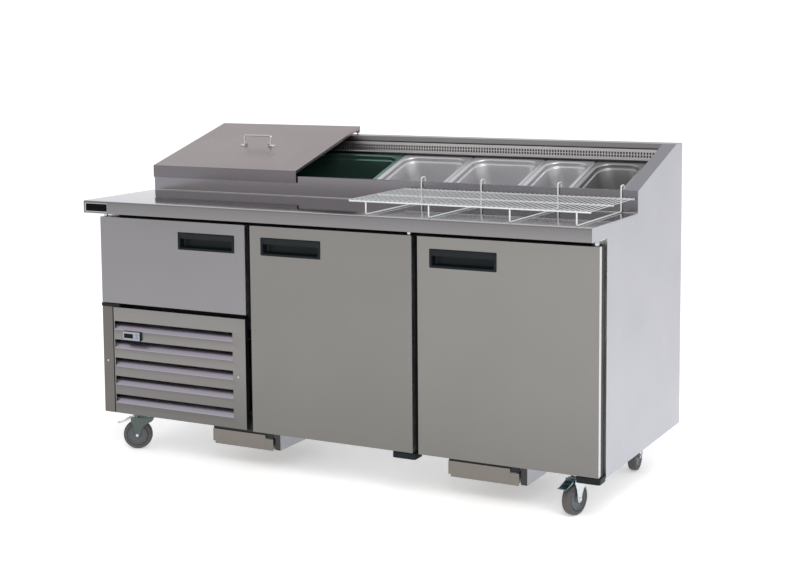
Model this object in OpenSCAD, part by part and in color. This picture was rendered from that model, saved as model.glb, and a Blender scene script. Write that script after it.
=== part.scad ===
// Refrigerated sandwich prep table: three doors, sloped pan hopper, louvred machine bay, four casters.
// X runs left to right, Y front to back, Z up. The origin is on the floor under the table's centre.

/* [Table] */
// Overall width
table_w = 1800; // [1780:10:1840]
// Overall depth, from the worktop's front lip to the back
table_d = 840; // [830:5:860]
// Height of the worktop above the floor
worktop_z = 880; // [870:5:900]
// Thickness of the worktop's front lip
worktop_t = 42; // [36:1:44]
// Height of the cabinet's underside above the floor
base_z = 130; // [128:1:134]
// Thickness of the insulated walls
wall = 46; // [44:1:48]
// Distance from the front lip back to the cabinet's front face
face_set = 130; // [126:1:134]
// Distance from the front lip back to the hopper's riser
riser_set = 395; // [390:1:398]
// Distance from the front lip back to the rear rail
rail_set = 774; // [772:1:778]
// Height of the riser's top above the worktop
riser_rise = 68; // [66:1:70]
// Height of the rear rail's top above the worktop
rail_rise = 184; // [182:1:186]

/* [Doors] */
// Width of each door
door_w = 583; // [578:1:583]
// Gap between two doors
door_gap = 20; // [20:1:26]
// Thickness of a door's panel
door_t = 38; // [36:1:40]
// Gap between the worktop's underside and the doors' top
door_drop = 21; // [18:1:24]
// Height of a full door
door_h = 675; // [670:1:676]
// Height of the half door above the louvred panel
half_door_h = 293; // [290:1:296]
// Width of a door's recessed handle
handle_w = 221; // [200:1:230]
// Height of a door's recessed handle
handle_h = 58; // [54:1:60]

/* [Hopper] */
// How far the pans' rims lie below the side panels' sloped edges
pan_drop = 58; // [56:1:60]
// Depth of a food pan
pan_deep = 100; // [65:5:100]
// Front-to-back length of a food pan
pan_l = 325; // [325:1:325]
// Widths of the six food pans, from the right
pan_ws = [176, 176, 265, 265, 530, 176];
// Width of the lid
lid_w = 594; // [590:1:598]
// Height of the lid's front lip
lid_lip = 42; // [38:1:46]

/* [Casters] */
// Diameter of a caster's wheel
wheel_d = 100; // [96:1:100]
// Width of a caster's wheel
wheel_t = 30; // [26:1:32]
// How far a wheel's axle trails behind its swivel
trail = 30; // [24:1:34]

/* [Hidden] */
$fn = 48;

skin = 2;
touch = 0.8;
half_w = table_w / 2;
half_in = half_w - wall;
lip_y = -table_d / 2;
back_y = table_d / 2;
face_y = lip_y + face_set;
riser_y = lip_y + riser_set;
riser_t = 16;
rail_y = lip_y + rail_set;
lining_y = back_y - wall + skin;
top_under = worktop_z - worktop_t;
riser_z = worktop_z + riser_rise;
rail_z = worktop_z + rail_rise;
slope = atan((rail_rise - riser_rise) / (rail_set - riser_set));

// Doors
gasket_t = 12;
door_y = face_y - gasket_t - touch - door_t;
door_top = top_under - door_drop;
door_base = door_top - door_h;
half_base = door_top - half_door_h;
door_pitch = door_w + door_gap;
door_xs = [-door_pitch, 0, door_pitch];
pivot_in = 14;
pin_r = 4;
pin_play = 0.08;
bracket_in = 56;
bracket_out = 24;
bracket_h = 18;
half_bracket_h = 11;
handle_in = 41;
handle_down = 36;

// Machine bay under the half door
bay_right = -door_pitch / 2 - 27;
deck_top = half_base - 12;
deck_t = 44;
mullion_w = 60;
mullion_t = 35;
louvre_y = door_y + 7;
louvre_top = half_base - 16;
louvre_left = -half_w + 45;
louvre_right = -door_pitch / 2 - 19;
slot_count = 5;
slot_pitch = 63.3;
slot_h = 25;
slot_top = louvre_top - 47.5;
slot_left = louvre_left + 4;
slot_right = louvre_right - 50;
thermostat_out = 9;
coil_y = face_y - 12;
fan_x = (louvre_left + bay_right) / 2;
fan_z = 330;

// Hopper
pan_front = riser_y + 44;
pan_z = riser_z + (pan_front - riser_y) * tan(slope) - pan_drop;
pan_right = half_w - 86;
pan_gap = 2;
strip_y = pan_front + pan_l * cos(slope) + 3;
strip_low = worktop_z + 126;
strip_high = rail_z - 18;

// Lid
lid_left = -half_w + 1;
lid_front = riser_y - 7;
lid_back = back_y - 2;
lid_front_z = worktop_z + 87;
lid_slope = 15.6;
hinge_y = lid_back - 5;
hinge_z = rail_z + 9;
hinge_in = 3.5;
hinge_t = 3;
lid_mid_x = lid_left + lid_w / 2;
bail_y = (lid_front + lid_back) / 2;
bail_z = lid_front_z + (bail_y - lid_front) * tan(lid_slope);
bail_w = 112;
bail_rise = 30;
bail_lean = 20;

// Wire shelf
shelf_left = -half_w + 1012;
shelf_right = half_w - 6;
shelf_front = lip_y + 14;
shelf_back = riser_y - 8;
shelf_z = worktop_z + 45;
hanger_xs = [half_w - 730, half_w - 518, half_w - 257, half_w - 52];

// Evaporator
evap_x = -600;
evap_z = 660;
evap_y = 205;

// Where the suction pipe rises through the deck
pipe_x = -450;
pipe_y = 357;

// Fans
shaft_r = 3;

// Drip trays
tray_w = 236;
tray_plate_w = 207;
tray_l = 320;
tray_h = 46;
tray_y = lip_y + 136;
tray_z = 68;
tray_gap = 12;
tray_lefts = [-487, 386];

// Casters: where each one stands and how it is turned
caster_in = 100;
front_caster_y = lip_y + 183;
rear_caster_y = lip_y + 705;
yaw_fl = -62;
yaw_fr = -14;
yaw_rl = -40;
yaw_rr = 5;
fork_gap = 1.5;
fork_t = 3;
axle_r = 5;
pedal_y = -trail - 14;
pedal_z = base_z - 24;
pedal_pin_r = 2.5;

function pan_edge(i) = i == 0 ? pan_right : pan_edge(i - 1) - pan_ws[i - 1] - pan_gap;

// A box between two opposite corners
module block(a, b) translate(a) cube(b - a);

// A rectangle with round corners, from the origin
module round_rect(w, h, r) {
    translate([r, 0]) square([w - 2 * r, h]);
    translate([0, r]) square([w, h - 2 * r]);
    for (x = [r, w - r], y = [r, h - r]) translate([x, y]) circle(r);
}

// A straight round bar between two points in one of the main planes
module rod(a, b, r) {
    d = b - a;
    len_d = norm(d);
    translate(a) rotate([0, acos(d[2] / len_d), atan2(d[1], d[0])]) cylinder(r = r, h = len_d, $fn = 16);
}

module along_x(x, len_x, r) translate([x, 0, 0]) rotate([0, 90, 0]) cylinder(r = r, h = len_x);

module along_y(y, len_y, r) translate([0, y, 0]) rotate([-90, 0, 0]) cylinder(r = r, h = len_y);

module base_panel() {
    color("lightgray") block([-half_in, face_y, base_z], [half_in, lining_y, base_z + 44]);
}

module side_profile() {
    polygon([[face_y, base_z], [back_y, base_z], [back_y, rail_z], [rail_y, rail_z],
        [riser_y + 3, riser_z], [riser_y + 3, worktop_z], [riser_y, worktop_z],
        [riser_y, worktop_z - skin], [face_y, worktop_z - skin]]);
}

module side_panel(x) {
    color("lightsteelblue") translate([x, 0, 0]) rotate([90, 0, 90]) linear_extrude(wall) side_profile();
}

module left_side_panel() side_panel(-half_w);

module right_side_panel() side_panel(half_in);

module back_panel() {
    color("silver") block([-half_in, lining_y, base_z], [half_in, back_y, rail_z - 84]);
}

module machine_housing() {
    color("gainsboro") {
        difference() {
            block([-half_in, face_y, deck_top - deck_t], [bay_right, lining_y, deck_top]);
            translate([pipe_x, pipe_y, deck_top - deck_t - 1]) cylinder(r = 6, h = deck_t + 2);
        }
        block([bay_right, face_y + mullion_t, base_z + 44], [bay_right + 44, lining_y, deck_top]);
    }
}

module front_frame() {
    frame_top = top_under - 43;
    color("gainsboro") {
        block([-half_in, face_y, frame_top], [half_in, face_y + mullion_t, top_under]);
        for (x = [-door_pitch / 2, door_pitch / 2])
            block([x - mullion_w / 2 + 3, face_y, base_z + 44],
                [x + mullion_w / 2 - 3, face_y + mullion_t, frame_top]);
    }
}

module worktop() {
    color("silver") difference() {
        block([-half_w, lip_y, top_under], [half_w, riser_y, worktop_z]);
        for (x = [-half_w - 1, half_in])
            block([x, face_y, top_under - 1], [x + wall + 1, riser_y + 1, worktop_z - skin]);
    }
}

module hopper_riser() {
    color("dimgray") {
        block([-half_w, riser_y, worktop_z], [half_w, riser_y + 3, riser_z]);
        block([-half_in, riser_y, top_under], [half_in, riser_y + riser_t, riser_z]);
    }
}

module rear_rail() {
    low = rail_z - 84;
    color("gray") translate([-half_in, 0, 0]) rotate([90, 0, 90]) linear_extrude(2 * half_in)
        polygon([[rail_y, rail_z - 18], [rail_y, rail_z], [back_y, rail_z], [back_y, low],
            [lining_y, low], [lining_y, rail_z - 18]]);
}

module air_strip() {
    slot = 5.5;
    color("lightgray") difference() {
        union() {
            block([-half_in, strip_y, strip_low], [half_in, strip_y + 3, strip_high - touch]);
            block([-half_in, strip_y, strip_low], [half_in, lining_y, strip_low + 3]);
        }
        for (z = [strip_low + 18, strip_low + 26])
            block([-half_in + 15, strip_y - 1, z], [half_in - 15, strip_y + 4, z + slot]);
    }
}

// Puts things into the pans' sloped frame: x as it is, y up the slope, z square to it
module on_slope() translate([0, pan_front, pan_z]) rotate([slope, 0, 0]) children();

module pan_frame() {
    bar_h = 8;
    first = pan_edge(0);
    last = pan_edge(5) - pan_ws[5];
    ledge = (riser_y + riser_t + touch - pan_front) / cos(slope);
    color("lightgray") on_slope() {
        block([-half_in, ledge, -bar_h], [half_in, 11, 0]);
        block([-half_in, pan_l - 11, -bar_h], [half_in, pan_l, 0]);
        block([first - 8, 10, -bar_h], [half_in, pan_l - 10, 0]);
        block([-half_in, 10, -bar_h], [last + 8, pan_l - 10, 0]);
        for (i = [1:5])
            block([pan_edge(i) - 6, 10, -bar_h], [pan_edge(i) + pan_gap + 6, pan_l - 10, 0]);
    }
}

module food_pan(i) {
    w = pan_ws[i];
    rim = 14;
    play = 0.3;
    color("silver") on_slope() translate([pan_edge(i) - w, 0, play]) difference() {
        union() {
            linear_extrude(2.5) round_rect(w, pan_l, 10);
            translate([rim, rim, -pan_deep]) linear_extrude(pan_deep + 1) round_rect(w - 2 * rim, pan_l - 2 * rim, 26);
        }
        translate([rim + skin, rim + skin, skin - pan_deep])
            linear_extrude(pan_deep + 5) round_rect(w - 2 * rim - 2 * skin, pan_l - 2 * rim - 2 * skin, 24);
    }
}

module left_stile() {
    color("silver") block([-half_w + 1, louvre_y - 2, door_base], [louvre_left - 2, face_y, louvre_top + 2]);
}

module louvre_panel() {
    sheet = 3;
    deep = 22;
    color("silver") {
        difference() {
            block([louvre_left, louvre_y, door_base], [louvre_right, louvre_y + deep, louvre_top]);
            block([louvre_left + sheet, louvre_y + sheet, door_base + sheet],
                [louvre_right - sheet, louvre_y + deep + 1, louvre_top - sheet]);
            for (i = [0:slot_count - 1])
                block([slot_left, louvre_y - 1, slot_top - i * slot_pitch - slot_h],
                    [slot_right, louvre_y + sheet + 1, slot_top - i * slot_pitch]);
            block([slot_left + 44, louvre_y - 1, slot_top - slot_h - 34],
                [slot_left + 108, louvre_y + sheet + 1, slot_top - slot_h - 7]);
        }
        for (i = [0:slot_count - 1])
            translate([slot_left, louvre_y + sheet, slot_top - i * slot_pitch - slot_h])
                rotate([90, 0, 90]) linear_extrude(slot_right - slot_left)
                polygon([[-2, -3], [0, -3], [16, 14], [14.5, 15.5], [-2, 0]]);
    }
}

module screws() {
    color("silver") {
        for (p = [[louvre_left - 25, louvre_y - 2, 322], [louvre_right - 28, louvre_y, 315]])
            translate([p[0], 0, p[2]]) along_y(p[1] - 1.8, 1.8, 4);
        for (x = [half_w - 960, half_w - 480])
            translate([x, 0, strip_low + 30.7]) along_y(strip_y - 1.5, 1.5, 3);
        for (y = [riser_y - 45, riser_y + 150], x = [-half_w - 1, half_w])
            translate([0, y, worktop_z - 22]) along_x(x, 1, 3.5);
    }
}

module thermostat() {
    x = slot_left + 40;
    z = slot_top - slot_h - 36;
    color("black") difference() {
        union() {
            block([x, louvre_y - thermostat_out, z], [x + 72, louvre_y, z + 31]);
            block([x + 5, louvre_y - 1, z + 3], [x + 67, louvre_y + 14, z + 28]);
        }
        for (dz = [8, 17]) block([x + 54, louvre_y - thermostat_out - 1, z + dz - 0.4],
            [x + 62.8, louvre_y, z + dz + 6.4]);
    }
}

module button(dz) {
    x = slot_left + 40;
    z = slot_top - slot_h - 36;
    color("gray")
        block([x + 54.4, louvre_y - thermostat_out - 1, z + dz], [x + 62.4, louvre_y - 1.2, z + dz + 6]);
}

module compressor() {
    color("black") translate([-720, 120, base_z + 44]) {
        rotate_extrude() polygon([[0, 12], [70, 12], [84, 30], [84, 120], [70, 160], [40, 180], [0, 186]]);
        block([-95, -70, 4], [95, 70, 14]);
        for (x = [-80, 80], y = [-55, 55]) translate([x, y, 0]) cylinder(r = 12, h = 5);
    }
}

module condenser_coil() {
    fins = 24;
    x0 = -840;
    x1 = -360;
    step = (x1 - x0) / fins;
    color("silver") {
        for (i = [0:fins - 1]) block([x0 + i * step, coil_y, 185], [x0 + i * step + 4, coil_y + 36, 455]);
        for (z = [205:45:430], y = [coil_y + 9, coil_y + 27]) translate([0, y, z]) along_x(x0 - 6, x1 - x0 + 6, 5);
    }
}

module condenser_shroud() {
    hole = 118;
    color("black") {
        difference() {
            block([-840, coil_y + 38, 180], [-360, coil_y + 70, 460]);
            translate([fan_x, 0, fan_z]) along_y(coil_y + 30, 50, hole);
        }
        block([fan_x - hole - 4, coil_y + 64, fan_z - 12], [fan_x + hole + 4, coil_y + 70, fan_z + 12]);
        translate([fan_x, 0, fan_z]) along_y(coil_y + 68, 60, 40);
        translate([fan_x, 0, fan_z]) along_y(coil_y + 44, 26, shaft_r);
    }
}

// A four-bladed fan that turns about Y; y is its front face
module fan(x, y, z, r, t) {
    color("dimgray") translate([x, y, z]) difference() {
        union() {
            along_y(0, t, r * 0.28);
            for (a = [0:90:270]) rotate([0, a, 0]) translate([r * 0.6, t / 2, 0]) rotate([22, 0, 0])
                block([-r * 0.38, -1, -r * 0.24], [r * 0.38, 1, r * 0.24]);
        }
        along_y(-1, t + 2, shaft_r + pin_play);
    }
}

module evaporator_coil() {
    fins = 24;
    span = 460;
    step = span / fins;
    x0 = evap_x - span / 2;
    color("silver") {
        for (i = [0:fins - 1]) block([x0 + i * step, evap_y + 75, evap_z - 82],
            [x0 + i * step + 3, evap_y + 150, evap_z + 82]);
        for (z = [-60:40:60], y = [90, 120]) translate([0, evap_y + y, evap_z + z]) along_x(x0 - 6, span + 6, 5);
    }
}

module evaporator_housing() {
    color("white") {
        difference() {
            block([evap_x - 245, evap_y, evap_z - 92], [evap_x + 245, lining_y, evap_z + 92]);
            block([evap_x - 242, evap_y + 3, evap_z - 89], [evap_x + 242, lining_y + 1, evap_z + 89]);
            translate([evap_x, 0, evap_z]) along_y(evap_y - 1, 5, 82);
        }
        block([evap_x - 6, evap_y + 58, evap_z - 90], [evap_x + 6, evap_y + 64, evap_z + 90]);
        translate([evap_x, 0, evap_z]) along_y(evap_y + 36, 24, 26);
        translate([evap_x, 0, evap_z]) along_y(evap_y + 9, 30, shaft_r);
    }
}

module refrigerant_pipes() {
    r = 5;
    end_x = -353;
    discharge = [[-720, 30, 250], [-560, 30, 250], [-560, 30, 400], [-560, -180, 400], [-560, -180, 430],
        [end_x, -180, 430], [end_x, coil_y + 27, 430], [end_x - 6.5, coil_y + 27, 430]];
    suction = [[-634, 120, 300], [pipe_x, 120, 300], [pipe_x, pipe_y, 300], [pipe_x, pipe_y, evap_z - 93]];
    color("peru") for (route = [discharge, suction]) for (i = [1:len(route) - 1]) {
        rod(route[i - 1], route[i], r);
        if (i < len(route) - 1) translate(route[i]) sphere(r, $fn = 16);
    }
}

// A bracket under a door with its upright pin, and the pin over the door's other end
module door_hinge(x, z_low, way, h) {
    color("black") {
        block([way > 0 ? x - bracket_out : x - bracket_in, door_y - 3, z_low - h - 2],
            [way > 0 ? x + bracket_in : x + bracket_out, face_y, z_low - 2]);
        translate([x, door_y + pivot_in, z_low - 4]) cylinder(r = pin_r, h = 24);
    }
    color("silver") {
        translate([x, door_y + pivot_in, door_top - 20]) cylinder(r = pin_r, h = 20 + door_drop);
        translate([x, door_y + pivot_in, door_top + 2]) cylinder(r = 7, h = door_drop - 2);
    }
}

function pivot_x(i) = door_xs[i] + (i == 0 ? -1 : 1) * (door_w / 2 - pivot_in);

module hinge_brackets() {
    difference() {
        union() {
            door_hinge(pivot_x(0), half_base, 1, half_bracket_h);
            for (i = [1, 2]) door_hinge(pivot_x(i), door_base, -1, bracket_h);
        }
        block([-half_w - 60, lip_y, 0], [-half_w, back_y, rail_z]);
        block([half_w, lip_y, 0], [half_w + 60, back_y, rail_z]);
    }
    color("silver") for (x = [lid_left + hinge_in, lid_left + lid_w - hinge_in - hinge_t]) {
        block([x, hinge_y - 8, rail_z], [x + hinge_t, hinge_y + 2.5, hinge_z + 4]);
        translate([0, hinge_y, hinge_z]) along_x(x < lid_mid_x ? x - hinge_in : x, hinge_in + hinge_t, 2.5);
    }
}

module tray_runners() {
    lip_z = tray_z + tray_h - 12;
    color("black") for (x = tray_lefts) {
        block([x + 1, tray_y + 6, lip_z - 1], [x + 3, tray_y + tray_l, base_z]);
        block([x + 1, tray_y + 6, lip_z], [x + 14, tray_y + tray_l, lip_z + 2]);
        block([x + tray_w + 3, tray_y + 6, tray_z + 2], [x + tray_w + 24, tray_y + tray_l, base_z]);
        block([x + tray_w - 8, tray_y + 6, lip_z], [x + tray_w + 4, tray_y + tray_l, lip_z + 2]);
    }
}

module drip_tray(i) {
    x = tray_lefts[i];
    t = 1.5;
    flange_z = tray_z + tray_h - 10 + 0.4;
    left = x + 16;
    right = x + tray_w - 10;
    color("silver") {
        difference() {
            block([left, tray_y, tray_z], [right, tray_y + tray_l, flange_z + t]);
            block([left + t, tray_y + t, tray_z + t], [right - t, tray_y + tray_l - t, base_z]);
        }
        block([left - 10, tray_y, flange_z], [left + 1, tray_y + tray_l, flange_z + t]);
        block([right - 1, tray_y, flange_z], [right + 11, tray_y + tray_l, flange_z + t]);
        block([x, tray_y - 2, tray_z + 8], [x + tray_plate_w, tray_y, base_z - tray_gap]);
        block([x + 8, tray_y - 1, tray_z], [x + tray_w, tray_y, flange_z + t]);
    }
}

module wire_rack(x0, x1, z) {
    y0 = face_y + 60;
    y1 = lining_y - 40;
    bar = 5;
    wire = 3;
    wires = 12;
    step = (x1 - x0 - wire) / wires;
    for (y = [y0, (y0 + y1 - bar) / 2, y1 - bar]) block([x0, y, z], [x1, y + bar, z + bar]);
    for (i = [0:wires])
        block([x0 + i * step, y0, z + bar - 1], [x0 + i * step + wire, y1, z + bar + wire]);
}

module inner_shelves() {
    post = 3;
    middle = [bay_right + 52, door_pitch / 2 - 5];
    right = [door_pitch / 2 + 5, half_in - 8];
    left = [8 - half_in, bay_right + 38];
    color("whitesmoke") {
        for (span = [middle, right], z = [330, 560]) wire_rack(span[0], span[1], z);
        wire_rack(left[0], left[1], deck_top + 12);
    }
    color("silver") for (span = [middle, right, left], y = [face_y + 66, lining_y - 60]) {
        low = span == left ? deck_top : base_z + 44;
        block([span[0] - post, y, low], [span[0], y + 16, 700]);
        block([span[1], y, low], [span[1] + post, y + 16, 700]);
    }
}

// Casters are built with the swivel on Z, the axle trailing forward, and then turned by their yaw
module place_caster(x, y, yaw) translate([x, y, 0]) rotate([0, 0, yaw]) children();

module caster_fork(x, y, yaw, pedal = false) {
    top = base_z - 8;
    leg_x = wheel_t / 2 + fork_gap;
    color("silver") place_caster(x, y, yaw) {
        difference() {
            union() {
                translate([0, 0, top - 6]) cylinder(r = 30, h = 5);
                block([-leg_x - fork_t, -trail - 8, top - 9], [leg_x + fork_t, 26, top - 5]);
                for (sx = [-leg_x - fork_t, leg_x]) translate([sx, 0, 0]) rotate([90, 0, 90]) linear_extrude(fork_t)
                    polygon([[-trail - 9, wheel_d / 2 - 9], [-trail + 9, wheel_d / 2 - 9],
                        [26, top - 24], [26, top - 5], [-trail - 22, top - 5], [-trail - 22, top - 24]]);
            }
            translate([0, 0, top - 12]) cylinder(r = 6, h = 20);
        }
        translate([0, -trail, wheel_d / 2]) along_x(-leg_x - fork_t - 4, 2 * (leg_x + fork_t + 4), axle_r);
        if (pedal) translate([0, pedal_y, pedal_z]) along_x(-leg_x - fork_t, 2 * (leg_x + fork_t), pedal_pin_r);
    }
}

module caster_wheel(x, y, yaw) {
    r = wheel_d / 2;
    ring = 5;
    place_caster(x, y, yaw) translate([-wheel_t / 2, -trail, r]) rotate([0, 90, 0]) color("dimgray")
        difference() {
            rotate_extrude($fn = 64) polygon([[0, 0], [r - 14, 0], [r - 13, 2], [r - ring, 2], [r, ring],
                [r, wheel_t - ring], [r - ring, wheel_t - 2], [r - 13, wheel_t - 2], [r - 14, wheel_t],
                [0, wheel_t]]);
            translate([0, 0, -1]) cylinder(r = axle_r + pin_play, h = wheel_t + 2);
        }
}

module caster_plates() {
    color("silver") for (c = [[-1, front_caster_y], [1, front_caster_y], [-1, rear_caster_y], [1, rear_caster_y]])
        translate([c[0] * (half_w - caster_in), c[1], base_z]) {
            block([-42, -36, -5], [42, 36, 0]);
            translate([0, 0, -8]) cylinder(r = 26, h = 4);
            translate([0, 0, -14]) cylinder(r = 6 - pin_play, h = 12);
        }
}

// The pedal lies over the wheel's front edge, on its own cross pin in the fork
module brake_pedal(x, y, yaw) {
    half = wheel_t / 2 - 1;
    color("darkslategray") place_caster(x, y, yaw) translate([0, pedal_y, pedal_z]) rotate([14, 0, 0])
        difference() {
            union() {
                block([-half, -56, -3], [half, 4, 4]);
                along_x(-half, 2 * half, 5);
            }
            along_x(-half - 1, 2 * half + 2, pedal_pin_r + pin_play);
        }
}

module door_panel(i, h, base) {
    x0 = door_xs[i] - door_w / 2;
    hand_x = i == 0 ? x0 + door_w - handle_in - handle_w : x0 + handle_in;
    hand_z = door_top - handle_down - handle_h;
    color("rosybrown") difference() {
        block([x0, door_y, base], [x0 + door_w, door_y + door_t, base + h]);
        block([hand_x + 3, door_y - 1, hand_z + 3], [hand_x + handle_w - 3, door_y + 30, hand_z + handle_h - 3]);
        translate([pivot_x(i), door_y + pivot_in, base - 1]) cylinder(r = pin_r + pin_play, h = 24);
        translate([pivot_x(i), door_y + pivot_in, door_top - 22]) cylinder(r = pin_r + pin_play, h = 24);
    }
}

module door_gasket(i, h, base) {
    x0 = door_xs[i] - door_w / 2;
    y0 = door_y + door_t;
    inset = 9;
    band = 14;
    color("black") difference() {
        block([x0 + inset, y0, base + inset], [x0 + door_w - inset, y0 + gasket_t, base + h - inset]);
        block([x0 + inset + band, y0 - 1, base + inset + band],
            [x0 + door_w - inset - band, y0 + gasket_t + 1, base + h - inset - band]);
    }
}

module door_handle(i) {
    x0 = door_xs[i] - door_w / 2;
    hx = i == 0 ? x0 + door_w - handle_in - handle_w : x0 + handle_in;
    hz = door_top - handle_down - handle_h;
    band = 20;
    rim = 8;
    color("black") difference() {
        union() {
            block([hx, door_y - 3, hz], [hx + handle_w, door_y, hz + handle_h]);
            block([hx + 3.5, door_y - 1, hz + 3.5], [hx + handle_w - 3.5, door_y + 28, hz + handle_h - 3.5]);
        }
        block([hx + rim, door_y - 4, hz + rim], [hx + handle_w - rim, door_y + 24, hz + handle_h - band]);
        block([hx + rim, door_y + 6, hz + rim], [hx + handle_w - rim, door_y + 24, hz + handle_h - rim]);
    }
}

module lid() {
    t = 2;
    run = lid_back - lid_front;
    back_z = lid_front_z + run * tan(lid_slope);
    color("rosybrown") {
        difference() {
            translate([lid_left, 0, 0]) rotate([90, 0, 90]) linear_extrude(lid_w)
                polygon([[lid_front, lid_front_z], [lid_back, back_z], [lid_back, hinge_z - 4],
                    [lid_back - t, hinge_z - 4], [lid_back - t, back_z - 3], [lid_front + t, lid_front_z - 2],
                    [lid_front + t, lid_front_z - lid_lip], [lid_front, lid_front_z - lid_lip]]);
            for (x = [lid_left + hinge_in, lid_left + lid_w - hinge_in - hinge_t])
                block([x - 0.6, lid_back - t - 1, hinge_z - 5], [x + hinge_t + 0.6, lid_back + 1, back_z - 4]);
        }
        for (x = [lid_left, lid_left + lid_w - t]) {
            translate([x, 0, 0]) rotate([90, 0, 90]) linear_extrude(t)
                polygon([[lid_front, lid_front_z - 10], [lid_back, back_z - 10],
                    [lid_back, back_z], [lid_front, lid_front_z]]);
            difference() {
                block([x, hinge_y - 5, hinge_z - 4], [x + t, lid_back, back_z - 6]);
                translate([0, hinge_y, hinge_z]) along_x(x - 1, t + 2, 2.5 + pin_play);
            }
        }
    }
}

// The handle sits in the middle of the lid, standing nearly upright
module on_lid() translate([lid_mid_x, bail_y, bail_z]) rotate([lid_slope, 0, 0]) children();

module lid_handle_plates() {
    color("silver") on_lid() for (side = [-1, 1]) difference() {
        union() {
            translate([side * (bail_w / 2 + 4) - 12, -9, 0]) cube([24, 18, 1.5]);
            translate([side * (bail_w / 2 - 6) - 2, -6, 0]) cube([4, 12, 11]);
        }
        translate([side * (bail_w / 2 - 6), 0, 6]) along_x(-5, 10, 3 + pin_play);
    }
}

module lid_bail() {
    r = 3;
    color("whitesmoke") on_lid() translate([0, 0, 6]) rotate([-bail_lean, 0, 0]) {
        for (side = [-1, 1]) {
            translate([side * bail_w / 2, 0, 0]) cylinder(r = r, h = bail_rise);
            translate([side * bail_w / 2, 0, 0]) sphere(r);
            translate([side * bail_w / 2, 0, bail_rise]) sphere(r);
            along_x(side > 0 ? bail_w / 2 - 9.5 : -bail_w / 2, 9.5, r);
        }
        translate([0, 0, bail_rise]) along_x(-bail_w / 2, bail_w, r);
    }
}

module wire_shelf() {
    r = 2.5;
    wires = 48;
    step = (shelf_right - shelf_left - 2 * r) / wires;
    hook_y = riser_y + 8;
    foot_z = worktop_z + r + 0.3;
    color("white") {
        for (y = [shelf_front, (shelf_front + shelf_back) / 2, shelf_back])
            translate([0, y, shelf_z - r]) along_x(shelf_left, shelf_right - shelf_left, r, $fn = 8);
        for (i = [0:wires]) translate([shelf_left + r + i * step, 0, shelf_z + 0.5])
            along_y(shelf_front - 2, shelf_back - shelf_front + 4, 1.3, $fn = 6);
        for (x = hanger_xs) {
            rod([x, shelf_back + 3.5, foot_z], [x, shelf_back + 3.5, riser_z + 14], r);
            rod([x, shelf_front + 3, foot_z], [x, shelf_front + 3, shelf_z - r], r);
            rod([x, shelf_front + 3, foot_z], [x, shelf_back + 3.5, foot_z], r);
            rod([x, shelf_back + 3.5, riser_z + 14], [x, hook_y + 15, riser_z + 14], r);
            rod([x, hook_y + 15, riser_z - 6], [x, hook_y + 15, riser_z + 14], r);
        }
    }
}

base_panel();
left_side_panel();
right_side_panel();
back_panel();
machine_housing();
front_frame();
worktop();
hopper_riser();
rear_rail();
air_strip();
pan_frame();
left_stile();
louvre_panel();
screws();
thermostat();
compressor();
condenser_coil();
condenser_shroud();
evaporator_coil();
evaporator_housing();
refrigerant_pipes();
hinge_brackets();
tray_runners();
inner_shelves();
caster_plates();
door_panel(0, half_door_h, half_base);  // door_left
door_gasket(0, half_door_h, half_base);  // door_left_gasket
door_handle(0);  // door_left_handle
door_panel(1, door_h, door_base);  // door_middle
door_gasket(1, door_h, door_base);  // door_middle_gasket
door_handle(1);  // door_middle_handle
door_panel(2, door_h, door_base);  // door_right
door_gasket(2, door_h, door_base);  // door_right_gasket
door_handle(2);  // door_right_handle
lid();
lid_handle_plates();
lid_bail();
food_pan(0);  // pan_1
food_pan(1);  // pan_2
food_pan(2);  // pan_3
food_pan(3);  // pan_4
food_pan(4);  // pan_5
food_pan(5);  // pan_6
wire_shelf();
drip_tray(0);  // drip_tray_left
drip_tray(1);  // drip_tray_right
fan(fan_x, coil_y + 40, fan_z, 105, 20);  // condenser_fan
fan(evap_x, evap_y + 6, evap_z, 74, 26);  // evaporator_fan
button(17);  // button_up
button(8);  // button_down
caster_fork(-half_w + caster_in, front_caster_y, yaw_fl, true);  // fork_front_left
caster_fork(half_w - caster_in, front_caster_y, yaw_fr, true);  // fork_front_right
caster_fork(-half_w + caster_in, rear_caster_y, yaw_rl);  // fork_rear_left
caster_fork(half_w - caster_in, rear_caster_y, yaw_rr);  // fork_rear_right
caster_wheel(-half_w + caster_in, front_caster_y, yaw_fl);  // wheel_front_left
caster_wheel(half_w - caster_in, front_caster_y, yaw_fr);  // wheel_front_right
caster_wheel(-half_w + caster_in, rear_caster_y, yaw_rl);  // wheel_rear_left
caster_wheel(half_w - caster_in, rear_caster_y, yaw_rr);  // wheel_rear_right
brake_pedal(-half_w + caster_in, front_caster_y, yaw_fl);  // pedal_front_left
brake_pedal(half_w - caster_in, front_caster_y, yaw_fr);  // pedal_front_right
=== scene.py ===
"""Looks of a refrigerated sandwich prep table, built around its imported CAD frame. Metres, Z up."""
from math import atan2, cos, pi, radians, sin, tan

import bmesh
import bpy
from mathutils import Matrix, Vector


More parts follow.
